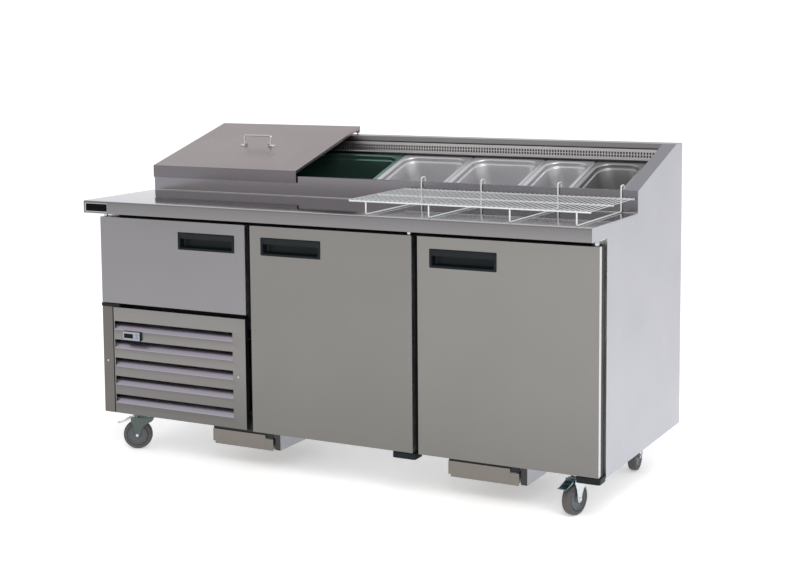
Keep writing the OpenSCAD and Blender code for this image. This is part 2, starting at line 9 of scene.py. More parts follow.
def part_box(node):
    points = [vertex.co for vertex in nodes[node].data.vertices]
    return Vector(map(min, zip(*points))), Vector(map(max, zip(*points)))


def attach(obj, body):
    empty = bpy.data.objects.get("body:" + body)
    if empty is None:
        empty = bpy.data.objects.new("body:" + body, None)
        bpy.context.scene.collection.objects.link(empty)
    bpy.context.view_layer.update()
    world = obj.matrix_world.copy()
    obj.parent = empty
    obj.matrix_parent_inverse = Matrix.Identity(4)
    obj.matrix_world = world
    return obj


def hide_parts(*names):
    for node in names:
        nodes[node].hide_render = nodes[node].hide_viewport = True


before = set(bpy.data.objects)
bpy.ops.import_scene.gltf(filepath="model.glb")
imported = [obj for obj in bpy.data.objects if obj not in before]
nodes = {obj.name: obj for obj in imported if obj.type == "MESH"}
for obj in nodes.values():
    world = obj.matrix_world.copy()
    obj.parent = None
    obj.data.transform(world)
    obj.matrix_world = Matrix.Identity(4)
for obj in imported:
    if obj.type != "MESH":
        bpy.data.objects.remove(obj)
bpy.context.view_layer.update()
MM = 0.001
TAU = 2 * pi

# -------- the table's own measures, mm
HALF_W = 900
WALL = 46
HALF_IN = HALF_W - WALL
LIP_Y, BACK_Y, FACE_Y = -420, 420, -290
FRONT = LIP_Y + 1
RISER_Y, RAIL_Y = -25, 354
TOP_Z, TOP_UNDER = 880, 838
RISER_Z, RAIL_Z = 948, 1064
LINING_Y = 376
SLOPE = atan2(RAIL_Z - RISER_Z, RAIL_Y - RISER_Y)
DOOR_Y, DOOR_T, DOOR_W, DOOR_TOP = -340.8, 38, 583, 817
DOOR_BASE, HALF_BASE = 142, 524
DOOR_XS = {"left": -603, "middle": 0, "right": 603}
HANDLE_W, HANDLE_H, HANDLE_IN, HANDLE_DOWN = 221, 58, 41, 36
PAN_FRONT, PAN_L, PAN_DEEP = RISER_Y + 44, 325, 100
PAN_Z = RISER_Z + 44 * tan(SLOPE) - 58
PAN_WS = [176, 176, 265, 265, 530, 176]
PAN_RIGHT, PAN_GAP = 814, 2
STRIP_Y = PAN_FRONT + PAN_L * cos(SLOPE) + 3
STRIP_LOW, STRIP_HIGH = TOP_Z + 126, RAIL_Z - 18
LOUVRE_Y, LOUVRE_TOP, LOUVRE_LEFT, LOUVRE_RIGHT = -333.8, 508, -855, -320.5
SLOT_TOP, SLOT_PITCH, SLOT_H, SLOT_LEFT, SLOT_RIGHT, SLOTS = 460.5, 63.3, 25, -851, -370.5, 5
LID_LEFT, LID_W, LID_FRONT, LID_BACK, LID_Z = -899, 594, -32, 418, 967
LID_SLOPE = radians(15.6)
SHELF = dict(left=112, right=894, front=-406, back=-33, z=925)
HANGERS = [170, 382, 643, 848]
# each caster's x, y and the yaw its fork stands at
CASTERS = {"front_left": (-800, -237, -62), "front_right": (800, -237, -14),
           "rear_left": (-800, 285, -40), "rear_right": (800, 285, 5)}
WHEEL_R, WHEEL_T, TRAIL, FORK_TOP = 50, 30, 30, 122
PIVOT_Y, PIVOT_XS = DOOR_Y + 14, {"left": -880.5, "middle": 277.5, "right": 880.5}
# the machine bay's right wall, the bay's and the cabinet's floors and the rack posts' top
BAY_X, BAY_Z, CABINET_Z, POST_TOP = -328.5, 512, 174, 700
# the rear rail's lower edge, where the back sheet ends
RAIL_LOW = RAIL_Z - 84
# the camera, in metres and degrees; its focal length is in pixels of the image's width
IMAGE_W, FOCAL_PX = 800, 1502.7
CAMERA_AT, CAMERA_YAW, CAMERA_PITCH, CAMERA_ROLL = (2.3575, -4.35197, 1.41974), 27.666, -5.792, -0.434


# -------- materials
def put(node, **values):
    """Sets a node's sockets by name, with _ for a space."""
    for name, value in values.items():
        node.inputs[name.replace("_", " ")].default_value = value
    return node


def new(t, kind):
    return t.nodes.new("ShaderNode" + kind)


def join(t, a, out, b, into):
    """Links a node's output to another's socket."""
    t.links.new(a.outputs[out], b.inputs[into])


def nodes_of(name):
    """A new node material, its tree and its shader."""
    m = bpy.data.materials.new(name)
    m.use_nodes = True
    t = m.node_tree
    return m, t, t.nodes["Principled BSDF"]


def noise_of(t, scale, stretch=(1, 1, 1), detail=4.0, rough=0.6):
    """A noise in the piece's own coordinates, per metre, drawn out along axes that stretch makes small."""
    co = new(t, "TexCoord")
    mp = put(new(t, "Mapping"), Scale=stretch)
    no = put(new(t, "TexNoise"), Scale=scale, Detail=detail, Roughness=rough)
    join(t, co, "Object", mp, "Vector")
    join(t, mp, "Vector", no, "Vector")
    return no


def spread(t, noise, low, high):
    """The noise's middle range spread from low to high."""
    r = put(new(t, "MapRange"), From_Min=0.3, From_Max=0.7, To_Min=low, To_Max=high)
    join(t, noise, "Fac", r, "Value")
    return r


def tint(t, fac, a, b):
    """A colour between a and b."""
    mix = new(t, "Mix")
    mix.data_type = "RGBA"
    put(mix, A=(*a, 1), B=(*b, 1))
    join(t, fac, 0, mix, "Factor")
    return mix


def bump_of(t, b, noise, strength, distance, before=None):
    """A bump from the noise into the shader, on top of the one before."""
    bu = put(new(t, "Bump"), Strength=strength, Distance=distance)
    join(t, noise, "Fac", bu, "Height")
    if before:
        join(t, before, "Normal", bu, "Normal")
    join(t, bu, "Normal", b, "Normal")
    return bu


def painted_shaded(t, colour, low_z, strength, high_z):
    """A painted shade: the colour in full at high_z, falling to a share of itself at low_z, in metres."""
    co = new(t, "TexCoord")
    sep = new(t, "SeparateXYZ")
    join(t, co, "Object", sep, 0)
    r = put(new(t, "MapRange"), From_Min=low_z, From_Max=high_z, To_Min=strength)
    join(t, sep, "Z", r, "Value")
    mix = tint(t, r, (0, 0, 0), (1, 1, 1))
    join(t, colour, "Result", mix, "B")
    return mix


def scaled(c, k):
    return tuple(min(1, x * k) for x in c)


def steel(name, colour, rough=0.33, grain=(0.012, 1, 1), spec=0.1, wave=0.0, metallic=1.0,
          painted_shade=None):
    """Brushed sheet: fine lines along the axis that grain makes small, faint smudges, slight waviness.
    fade is (low z, strength there, high z), as faded() takes it: a painted shade that darkens the lower
    part."""
    m, t, b = nodes_of(name)
    put(b, Metallic=metallic)
    lines = noise_of(t, 900, grain, 3.0, 0.7)
    smudge = noise_of(t, 3.2, (1, 1, 1), 5.0, 0.6)
    line_share = 0.55
    both = new(t, "Math")
    both.operation = "MULTIPLY_ADD"
    both.inputs[1].default_value = line_share
    join(t, lines, "Fac", both, 0)
    rest = new(t, "Math")
    rest.operation = "MULTIPLY"
    rest.inputs[1].default_value = 1 - line_share
    join(t, smudge, "Fac", rest, 0)
    join(t, rest, 0, both, 2)
    mix = tint(t, both, scaled(colour, 1 - spec), scaled(colour, 1 + spec))
    if painted_shade:
        mix = painted_shaded(t, mix, *painted_shade)
    join(t, mix, "Result", b, "Base Color")
    r = spread(t, smudge, rough * 0.86, rough * 1.18)
    join(t, r, 0, b, "Roughness")
    first = bump_of(t, b, lines, 0.06, 0.0002)
    if wave:
        broad = noise_of(t, 2.4, (1, 1, 1), 1.0, 0.4)
        bump_of(t, b, broad, wave, 0.004, first)
    return m


def grainy(name, colour, rough=0.5, scale=700, strength=0.15, metallic=0.0, vary=0.14, spec=0.5,
           coat=0.0):
    """Moulded plastic, rubber or paint: a fine grain, slow colour drift and scuffs in the roughness."""
    m, t, b = nodes_of(name)
    put(b, Metallic=metallic, Specular_IOR_Level=spec, Coat_Weight=coat, Coat_Roughness=0.12)
    fine = noise_of(t, scale, (1, 1, 1), 3.0, 0.6)
    broad = noise_of(t, 9, (1, 1, 1), 4.0, 0.6)
    mix = tint(t, broad, scaled(colour, 1 - vary), scaled(colour, 1 + vary))
    join(t, mix, "Result", b, "Base Color")
    r = spread(t, broad, rough * 0.85, min(1, rough * 1.15))
    join(t, r, 0, b, "Roughness")
    bump_of(t, b, fine, strength, 0.0002)
    return m


ALONG_X, ALONG_Y, ALONG_Z = (0.012, 1, 1), (1, 0.012, 1), (1, 1, 0.012)
M = {
    # the outer and middle doors' steel darkens towards the bottom, a painted shade
    "door": steel("door_steel", (0.262, 0.256, 0.243), 0.36, ALONG_Z, 0.06, 0.04,
                  painted_shade=(0.14, 0.78, 0.82)),
    # the middle door: the door steel a little darker, a painted shade
    "door_mid": steel("door_steel_middle_painted_shade", (0.240, 0.234, 0.222), 0.36, ALONG_Z, 0.06, 0.04,
                      painted_shade=(0.14, 0.82, 0.82)),
    # the left door: the door steel tinted cooler, a painted reflection
    "door_cool_reflection": steel("door_steel_painted_cool_reflection", (0.262, 0.256, 0.268), 0.36, ALONG_Z, 0.06, 0.04),
    "side": steel("side_steel", (0.45, 0.455, 0.49), 0.38, ALONG_Z, 0.05, 0.04),
    # the doors' left and right faces: a brighter copy of the door steel, a painted highlight
    "edge": steel("edge_steel", (0.64, 0.62, 0.63), 0.34, ALONG_Z, 0.05),
    "top": steel("top_steel", (0.50, 0.49, 0.50), 0.085, ALONG_X, 0.05),
    # the worktop's front face and underside: a darker copy of the top steel, a painted shade
    "lip": steel("lip_steel", (0.220, 0.216, 0.220), 0.30, ALONG_X, 0.07, 0.03),
    "lid": steel("lid_steel", (0.29, 0.250, 0.240), 0.30, ALONG_X, 0.06),
    # the lid's front face: a darker copy of the lid steel, a painted shade
    "lid_lip": steel("lid_lip_steel", (0.17, 0.160, 0.175), 0.22, ALONG_X, 0.08),
    "hopper": steel("hopper_steel", (0.235, 0.225, 0.245), 0.20, ALONG_X, 0.07),
    "rail": steel("rail_steel", (0.24, 0.235, 0.24), 0.30, ALONG_X, 0.08),
    # the side panels' top faces: a darker copy of the side steel, a painted shade
    "cheek_shaded": steel("cheek_shaded_steel", (0.225, 0.225, 0.245), 0.30, ALONG_Y, 0.08),
    "strip": steel("strip_steel", (0.50, 0.49, 0.49), 0.30, ALONG_X, 0.06),
    # the louvre steel darkens towards the bottom, a painted shade
    "louvre": steel("louvre_steel", (0.228, 0.221, 0.214), 0.34, ALONG_X, 0.07,
                    painted_shade=(0.14, 0.72, 0.34)),
    # the stile: the louvre steel darkened, a painted shade
    "stile": steel("stile_steel_painted_shade", (0.152, 0.144, 0.136), 0.34, ALONG_Z, 0.07),
    # the louvre blades: a lighter, lavender-tinted steel, a painted highlight and reflection
    "blade": steel("blade_steel_painted_highlight", (0.42, 0.395, 0.475), 0.30, ALONG_X, 0.07),
    "liner": steel("liner_steel", (0.62, 0.62, 0.62), 0.30, ALONG_Z, 0.06),
    "back": steel("back_steel", (0.40, 0.41, 0.42), 0.45, ALONG_Z, 0.10),
    "tray": steel("tray_steel", (0.210, 0.193, 0.178), 0.30, ALONG_X, 0.10),
    "pan": steel("pan_steel", (0.56, 0.56, 0.575), 0.32, ALONG_Y, 0.05, 0.0, 0.85),
    # the rightmost pan: a darker copy of the pan steel, a painted shade
    "pan_end_shaded": steel("pan_steel_end_painted_shade", (0.31, 0.32, 0.315), 0.32, ALONG_Y, 0.05, 0.0, 0.85),
    # the big pan under the lid: the pan steel darkened and tinted green, a painted shade with a green
    # reflection
    "pan_shaded_green": steel("pan_steel_painted_shade_green", (0.120, 0.225, 0.190), 0.24, ALONG_Y, 0.08, 0.0, 0.85),
    # the front-left fork: a darker copy of the zinc, a painted shade
    "fork_shaded": steel("fork_zinc_painted_shade", (0.10, 0.12, 0.115), 0.26, (1, 1, 1), 0.2),
    "zinc": steel("zinc_steel", (0.58, 0.62, 0.63), 0.22, (1, 1, 1), 0.12),
    # the front-right pedal: zinc darkened and tinted teal, a painted dark reflection
    "pedal": steel("pedal_zinc_painted_shade", (0.16, 0.25, 0.27), 0.26, (1, 1, 1), 0.18),
    "chrome": steel("chrome", (0.60, 0.60, 0.62), 0.10, (1, 1, 1), 0.03),
    "fin": steel("fin_aluminium", (0.62, 0.63, 0.65), 0.38, ALONG_Z, 0.10),
    "copper": steel("copper_tube", (0.66, 0.34, 0.20), 0.28, (1, 1, 1), 0.16),
    "wire": grainy("white_wire", (0.60, 0.625, 0.635), 0.35, 500, 0.06, 0, 0.05, 0.4, 0.2),
    "black": grainy("black_plastic", (0.006, 0.010, 0.012), 0.46, 900, 0.25, 0, 0.2, 0.18),
    "gasket": grainy("gasket_rubber", (0.020, 0.024, 0.026), 0.62, 600, 0.15, 0, 0.2, 0.35),
    "tyre": grainy("wheel_rubber", (0.086, 0.081, 0.080), 0.60, 500, 0.2, 0, 0.12, 0.35),
    "hub": grainy("hub_plastic", (0.085, 0.095, 0.100), 0.42, 700, 0.15, 0, 0.12),
    "paint": grainy("black_paint", (0.014, 0.014, 0.015), 0.38, 260, 0.2, 0, 0.2, 0.5, 0.2),
    "bezel": grainy("bezel_plastic", (0.29, 0.31, 0.37), 0.35, 800, 0.1, 0, 0.05),
    "key": grainy("key_plastic", (0.22, 0.24, 0.30), 0.4, 800, 0.1, 0, 0.08),
    "glass": grainy("display_glass", (0.004, 0.008, 0.006), 0.35, 60, 0.02, 0, 0.3, 0.08),
    "grey": grainy("grey_plastic", (0.42, 0.43, 0.44), 0.45, 700, 0.15, 0, 0.06),
    "badge": grainy("badge_enamel", (0.003, 0.003, 0.004), 0.60, 400, 0.05, 0, 0.2, 0.05),
}


# -------- mesh tools, all in mm
# how a point (u, v) of an outline and w along an axis become x, y, z
PLACE = {"x": lambda u, v, w: (w, u, v), "y": lambda u, v, w: (u, w, v), "z": lambda u, v, w: (u, v, w)}


def link(name, data):
    """A new object of the data, in the scene."""
    ob = bpy.data.objects.new(name, data)
    bpy.context.scene.collection.objects.link(ob)
    return ob


class Shape:
    """Collects closed shells in mm, then makes one piece of them."""

    def __init__(self, place=None):
        self.v, self.f, self.place = [], [], place or Matrix.Identity(4)

    def add(self, verts, faces, m=None):
        m = self.place @ m if m is not None else self.place
        n = len(self.v)
        self.v += [m @ Vector(p) for p in verts]
        self.f += [[n + i for i in f] for f in faces]
        return self

    def box(self, lo, hi):
        (a, b, c), (d, e, f) = lo, hi
        v = [(x, y, z) for x in (a, d) for y in (b, e) for z in (c, f)]
        return self.add(v, [(0, 1, 3, 2), (4, 6, 7, 5), (0, 4, 5, 1),
                            (2, 3, 7, 6), (0, 2, 6, 4), (1, 5, 7, 3)])

    def loft(self, loops, caps=True, ring=False):
        """Skins loops of the same number of points; ring joins the last one to the first."""
        n = len(loops[0])
        v = [p for loop in loops for p in loop]
        f, rows = [], len(loops)
        for k in range(rows if ring else rows - 1):
            a, b = k * n, (k + 1) % rows * n
            f += [(a + i, a + (i + 1) % n, b + (i + 1) % n, b + i) for i in range(n)]
        if caps and not ring:
            f += [tuple(reversed(range(n))), tuple((rows - 1) * n + i for i in range(n))]
        return self.add(v, f)

    def prism(self, outline, axis, a, b):
        """An outline of (u, v) points, drawn out along an axis from a to b."""
        at = PLACE[axis]
        return self.loft([[at(u, v, w) for u, v in outline] for w in (a, b)])

    def lathe(self, profile, centre, axis="z", sides=48):
        """Turns (radius, along) points about an axis; ends with radius 0 close it."""
        loops = []
        for r, h in profile:
            ring = []
            for i in range(sides):
                c, s = r * cos(TAU * i / sides), r * sin(TAU * i / sides)
                p = {"z": (c, s, h), "x": (h, c, s), "y": (s, h, c)}[axis]
                ring.append(Vector(centre) + Vector(p))
            loops.append(ring)
        return self.loft(loops)

    def tube(self, points, r, bend=0, sides=12, ring=False, steps=6):
        """A round bar through the points, its corners turned with a bend radius."""
        path = soften([Vector(p) for p in points], bend, ring, steps)
        n = len(path)
        loops, side = [], None
        for i, p in enumerate(path):
            ahead = path[(i + 1) % n] if ring or i < n - 1 else p
            back = path[i - 1] if ring or i else p
            t = (ahead - back).normalized()
            if side is None:
                side = t.orthogonal().normalized()
            side = (side - t * side.dot(t)).normalized()
            up = t.cross(side)
            loops.append([p + side * r * cos(TAU * k / sides) + up * r * sin(TAU * k / sides)
                          for k in range(sides)])
        return self.loft(loops, ring=ring)

    def plate(self, us, vs, hole, w0, w1, axis="y"):
        """A plate from w0 to w1 along the axis, on grid lines us, vs, open in the cells of hole(i, j)."""
        at = PLACE[axis]
        nu, nv = len(us), len(vs)
        verts = [at(u, v, w) for w in (w0, w1) for v in vs for u in us]
        idx = lambda i, j, k: k * nu * nv + j * nu + i
        full = lambda i, j: 0 <= i < nu - 1 and 0 <= j < nv - 1 and not hole(i, j)
        faces = []
        for j in range(nv - 1):
            for i in range(nu - 1):
                if not full(i, j):
                    continue
                q = [(i, j), (i + 1, j), (i + 1, j + 1), (i, j + 1)]
                faces.append([idx(a, b, 0) for a, b in q])
                faces.append([idx(a, b, 1) for a, b in reversed(q)])
                for k, (di, dj) in enumerate(((0, -1), (1, 0), (0, 1), (-1, 0))):
                    if not full(i + di, j + dj):
                        a, b = q[k], q[(k + 1) % 4]
                        faces.append([idx(*a, 0), idx(*a, 1), idx(*b, 1), idx(*b, 0)])
        return self.add(verts, faces)

    def done(self, name, material, body, replaces=(), bevel=0.0, segments=2, angle=35, smooth=40,
             slot=None, merge=True):
        """Makes the piece, riding a body and standing in for the CAD nodes in replaces."""
        me = bpy.data.meshes.new(name)
        me.from_pydata([p * MM for p in self.v], [], self.f)
        bm = bmesh.new()
        bm.from_mesh(me)
        if merge:
            bmesh.ops.remove_doubles(bm, verts=bm.verts, dist=1e-6)
        loose = [v for v in bm.verts if not v.link_faces]
        bmesh.ops.delete(bm, geom=loose, context="VERTS")
        bmesh.ops.recalc_face_normals(bm, faces=bm.faces)
        bm.to_mesh(me)
        bm.free()
        ob = link(name, me)
        me.materials.append(M[material])
        if bevel:
            add_bevel(ob, bevel, segments, angle)
        shade(ob, smooth)
        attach(ob, body)
        if replaces:
            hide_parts(*replaces)
        return ob


def soften(path, bend, ring=False, steps=6):
    """The path with each corner replaced by an arc of the bend radius."""
    if not bend:
        return path
    out, n = [], len(path)
    for i, p in enumerate(path):
        if not ring and i in (0, n - 1):
            out.append(p)
            continue
        a, b = (path[i - 1] - p), (path[(i + 1) % n] - p)
        la, lb = a.length, b.length
        a, b = a.normalized(), b.normalized()
        turn = pi - a.angle(b)
        if turn < 0.02:
            out.append(p)
            continue
        cut = min(bend * tan(turn / 2), 0.48 * la, 0.48 * lb)
        r = cut / tan(turn / 2)
        centre = p + (a + b).normalized() * (r / cos(turn / 2))
        s, e = p + a * cut - centre, p + b * cut - centre
        for k in range(steps + 1):
            w = k / steps
            mid = (s * sin((1 - w) * turn) + e * sin(w * turn)) / sin(turn)
            out.append(centre + mid)
    return out


def rounded(w, h, r, n=6, cx=0.0, cy=0.0):
    """The outline of a rectangle with round corners about a centre."""
    pts = []
    for k, (sx, sy) in enumerate(((1, 1), (-1, 1), (-1, -1), (1, -1))):
        for i in range(n + 1):
            a = (k + i / n) * pi / 2
            pts.append((cx + sx * (w / 2 - r) + r * cos(a),
                        cy + sy * (h / 2 - r) + r * sin(a)))
    return pts


def polygon(r, n, cx=0.0, cy=0.0):
    """The outline of a regular polygon about a centre."""
    return [(cx + r * cos(TAU * k / n), cy + r * sin(TAU * k / n)) for k in range(n)]


def framed(x0, x1, z0, z1, profile):
    """Loops of a rectangle in x and z, one for each (inset, y) of the profile."""
    loops = []
    for inset, y in profile:
        a, b, c, d = x0 + inset, x1 - inset, z0 + inset, z1 - inset
        loops.append([(a, y, c), (b, y, c), (b, y, d), (a, y, d)])
    return loops


def arc(cx, cy, r, a0, a1, n=6):
    """Points of a circle's arc from a0 to a1, in degrees."""
    return [(cx + r * cos(radians(a0 + (a1 - a0) * i / n)),
             cy + r * sin(radians(a0 + (a1 - a0) * i / n))) for i in range(n + 1)]


def add_bevel(ob, width, segments=2, angle=35):
    b = ob.modifiers.new("bevel", "BEVEL")
    b.width = width * MM
    b.segments = segments
    b.limit_method = "ANGLE"
    b.angle_limit = radians(angle)
    b.use_clamp_overlap = True
    b.miter_outer = "MITER_ARC"


def shade(ob, angle):
    """Smooth shading, but for edges sharper than the angle; none at all with angle 0."""
    for p in ob.data.polygons:
        p.use_smooth = angle > 0
    if angle > 0:
        bpy.context.view_layer.objects.active = ob
        with bpy.context.temp_override(object=ob, active_object=ob, selected_editable_objects=[ob]):
            bpy.ops.object.shade_smooth_by_angle(angle=radians(angle))


def dress(names, material, bevel=0.0, segments=2):
    """A CAD node that stays: its edges are welded and rounded, and it gets its finish."""
    for name in names.split():
        ob = nodes[name]
        ob.data.materials.clear()
        ob.data.materials.append(M[material])
        w = ob.modifiers.new("weld", "WELD")
        w.merge_threshold = 1e-5
        if bevel:
            add_bevel(ob, bevel, segments)


def facing(ob, choices):
    """Gives faces that point a way another finish: choices are (axis, least component, material)."""
    for axis, least, material in choices:
        ob.data.materials.append(M[material])
        for p in ob.data.polygons:
            if p.normal.dot(Vector(axis)) > least:
                p.material_index = len(ob.data.materials) - 1


# -------- CAD nodes that stay
dress("left_side_panel right_side_panel", "side", 1.2)
dress("base_panel machine_housing front_frame", "liner", 1.0)
# the side panels' top faces take the darker cheek steel, a painted shade; their front faces take the liner
for name in ("left_side_panel", "right_side_panel"):
    facing(nodes[name], [((0, 0, 1), 0.5, "cheek_shaded"), ((0, -1, 0), 0.7, "liner")])
# their front faces take black, a painted shade in the gaps under the doors
for name in ("base_panel", "machine_housing", "front_frame"):
    facing(nodes[name], [((0, -1, 0), 0.7, "black")])
dress("hopper_riser", "hopper", 1.0, 3)
dress("rear_rail", "rail", 1.2)
dress("pan_frame", "rail", 0.8)
dress("left_stile", "stile", 1.2)
dress("door_middle", "door_mid", 2.0, 4)
dress("door_right", "door", 2.0, 4)
dress("door_left", "door_cool_reflection", 2.0, 4)
# the doors' left and right faces take the brighter edge steel, a painted highlight; their backs take the
# liner
for name in ("door_left", "door_middle", "door_right"):
    facing(nodes[name], [((1, 0, 0), 0.7, "edge"), ((-1, 0, 0), 0.7, "edge"), ((0, 1, 0), 0.7, "liner")])
dress("lid", "lid", 1.0, 3)
# the lid's front face takes the darker steel, a painted shade
facing(nodes["lid"], [((0, -1, 0), 0.7, "lid_lip")])
dress("lid_handle_plates", "chrome", 0.5)
dress("drip_tray_left drip_tray_right", "tray", 0.5)
dress("tray_runners", "side", 0.5)
# the runners' front ends and left faces take black paint, a painted shade
facing(nodes["tray_runners"], [((0, -1, 0), 0.7, "paint"), ((-1, 0, 0), 0.7, "paint")])
dress("button_up button_down", "key", 0.5)


# -------- worktop, badge, rear strip
def worktop():
    """One sheet with a rolled front lip, the core under it and the fold line at the riser's foot, the fold
    in a brighter steel as a painted highlight.
    """
    nose_r, fold_r, under = 5, 2.2, TOP_Z - 2
    s = Shape()
    s.prism([(RISER_Y, TOP_Z), (RISER_Y, under), (FACE_Y + 2, under), (FACE_Y + 2, TOP_UNDER)]
            + arc(FRONT + 3, TOP_UNDER + 3, 3, 270, 180, 5)
            + arc(FRONT + nose_r, TOP_Z - nose_r, nose_r, 180, 90, 8), "x", -HALF_W, HALF_W)
    s.prism([(FACE_Y + 3, under - 0.2), (RISER_Y, under - 0.2), (RISER_Y, TOP_UNDER),
             (FACE_Y + 3, TOP_UNDER)], "x", -HALF_IN, HALF_IN)
    ob = s.done("worktop_shell", "top", "root", ["worktop"], slot="top_steel", smooth=30, bevel=0.6)
    # the front face and the underside take the darker lip steel, a painted shade; the ends take the side
    # steel
    facing(ob, [((0, -1, 0), 0.72, "lip"), ((1, 0, 0), 0.7, "side"), ((-1, 0, 0), 0.7, "side"),
                ((0, 0, -1), 0.5, "lip")])
    # the fold takes the brighter strip steel, a painted highlight along the riser's foot
    foot = Shape().prism([(RISER_Y, TOP_Z - 0.2), (RISER_Y, TOP_Z + fold_r)]
                         + arc(RISER_Y - fold_r, TOP_Z + fold_r, fold_r, 0, -90, 5)
                         + [(RISER_Y - fold_r, TOP_Z - 0.2)], "x", 1 - HALF_W, HALF_W - 1)
    foot.done("riser_fold_highlight", "strip", "root", slot="top_steel", smooth=50)


def badge():
    """A plain black plate in a bare rim, on the lip's left end."""
    x0, x1, z0, z1, corner = -892, -800, 844, 872.5, 2.5
    w, h, cx, cz = x1 - x0, z1 - z0, (x0 + x1) / 2, (z0 + z1) / 2
    plate = Shape().prism(rounded(w, h, corner, 5, cx, cz), "y", FRONT - 0.6, FRONT + 0.4)
    plate.done("badge_plate", "badge", "root", bevel=0.2, slot="black_plastic")
    loops = []
    for inset, y in ((0, -0.1), (0.3, -0.95), (1.6, -0.95), (1.9, -0.5)):
        outline = rounded(w - 2 * inset, h - 2 * inset, corner - inset / 2, 5, cx, cz)
        loops.append([(u, FRONT + y, v) for u, v in outline])
    Shape().loft(loops, ring=True).done("badge_rim", "zinc", "root", smooth=50, slot="zinc_steel")


def air_strip():
    """A folded strip with two rows of punched slots."""
    pitch, wide = 10.0, 6.2
    x0, x1 = -HALF_IN + 0.5, HALF_IN - 0.5
    us, n = [x0], int((x1 - x0 - 30) / pitch)
    start = (x0 + x1 - n * pitch) / 2
    for i in range(n):
        us += [start + i * pitch + (pitch - wide) / 2, start + i * pitch + (pitch + wide) / 2]
    us.append(x1)
    z = STRIP_LOW
    vs = [z, z + 12.0, z + 19.5, z + 22.0, z + 29.5, STRIP_HIGH - 0.8]
    s = Shape().plate(us, vs, lambda i, j: i % 2 == 1 and j in (1, 3), STRIP_Y, STRIP_Y + 1.5)
    s.box((x0, STRIP_Y, z - 0.1), (x1, LINING_Y, z + 1.5))
    s.done("perforated_strip", "strip", "root", ["air_strip"], slot="hopper_steel", smooth=0)
    # a black sheet behind the slots, a painted shadow for the cavity behind them
    slot_shadow = Shape().prism([(STRIP_Y + 2.4, z + 10), (STRIP_Y + 6, z + 8), (STRIP_Y + 6, z + 34),
                             (STRIP_Y + 2.4, z + 32)], "x", x0 + 2, x1 - 2)
    slot_shadow.done("strip_slot_shadow", "paint", "root", slot="hopper_steel", smooth=0)
    hem = Shape().prism(arc(STRIP_Y - 0.2, z + 4, 3.2, 0, 330, 11), "x", x0, x1)
    hem.done("strip_hem", "side", "root", slot="panel_steel", smooth=60)


# -------- food pans
def pan_edge(i):
    """The right edge of pan i, counted from the right."""
    return PAN_RIGHT if i == 0 else pan_edge(i - 1) - PAN_WS[i - 1] - PAN_GAP


def pans():
    """Six stepped pans with rolled rims. Each row is (inset, height, corner radius)."""
    on_slope = Matrix.Translation((0, PAN_FRONT, PAN_Z)) @ Matrix.Rotation(SLOPE, 4, "X")
    rim = [(0.6, 0.4, 10), (0.0, 1.2, 10), (0.3, 2.4, 10), (1.3, 2.9, 10), (4.0, 2.6, 14),
           (11.0, 2.4, 34), (13.6, 1.6, 44), (15.0, -0.6, 46), (15.4, -4.0, 46), (15.6, -12.5, 46),
           (16.6, -14.2, 46), (19.2, -15.4, 46), (20.0, -17.0, 46), (24.0, -PAN_DEEP + 12, 44),
           (26.2, -PAN_DEEP + 5, 42), (31.0, -PAN_DEEP + 1.6, 38), (38.0, -PAN_DEEP + 0.9, 31)]
    under = [(1.4, 0.4, 10), (1.6, 1.4, 10), (13.0, 1.2, 42), (14.0, -0.8, 45), (14.4, -4.0, 45),
             (14.6, -13.0, 45), (15.6, -15.0, 45), (18.2, -16.4, 45), (19.0, -18.0, 45),
             (23.0, -PAN_DEEP + 12, 44), (25.2, -PAN_DEEP + 4.4, 42), (30.5, -PAN_DEEP + 0.6, 38),
             (38.0, -PAN_DEEP, 31)]
    for i, w in enumerate(PAN_WS):
        cx, cy = pan_edge(i) - w / 2, PAN_L / 2
        s = Shape(on_slope)
        s.loft([[(x, y, z + 0.3) for x, y in rounded(w - 2 * d, PAN_L - 2 * d, r, 8, cx, cy)]
                for d, z, r in rim[::-1] + under])
        body = f"pan_{i + 1}" if i < 4 else "root"
        # the rightmost pan and the big pan take the shaded copies of the pan steel, painted shade
        finish = {0: "pan_end_shaded", 4: "pan_shaded_green"}.get(i, "pan")
        s.done(f"food_pan_{i + 1}", finish, body, [f"pan_{i + 1}"], slot="pan_steel", smooth=50)


# -------- lid handle
def bail():
    """A bent rod that leans back 20 degrees from square to the lid, and its plates' four rivets."""
    mid_x, mid_y = LID_LEFT + LID_W / 2, (LID_FRONT + LID_BACK) / 2
    z = LID_Z + (mid_y - LID_FRONT) * tan(LID_SLOPE)
    on_lid = Matrix.Translation((mid_x, mid_y, z)) @ Matrix.Rotation(LID_SLOPE, 4, "X")
    s = Shape(on_lid @ Matrix.Translation((0, 0, 6)) @ Matrix.Rotation(-radians(20), 4, "X"))
    w, h = 56, 30
    s.tube([(-w + 9.5, 0, 0), (-w, 0, 0), (-w, 0, h), (w, 0, h), (w, 0, 0), (w - 9.5, 0, 0)],
           3, 4.5, 16, steps=8)
    s.done("lid_bail_rod", "chrome", "lid_bail", ["lid_bail"], slot="chrome", smooth=50)
    heads = Shape(on_lid)
    for sx in (-1, 1):
        for x in (sx * (w + 4) - 8, sx * (w + 4) + 8):
            heads.lathe([(0, 1.2), (2.6, 1.3), (2.4, 2.2), (1.4, 2.8), (0, 3.0)], (x, 0, 0), "z", 16)
    heads.done("lid_handle_rivets", "chrome", "lid", slot="chrome", smooth=50)


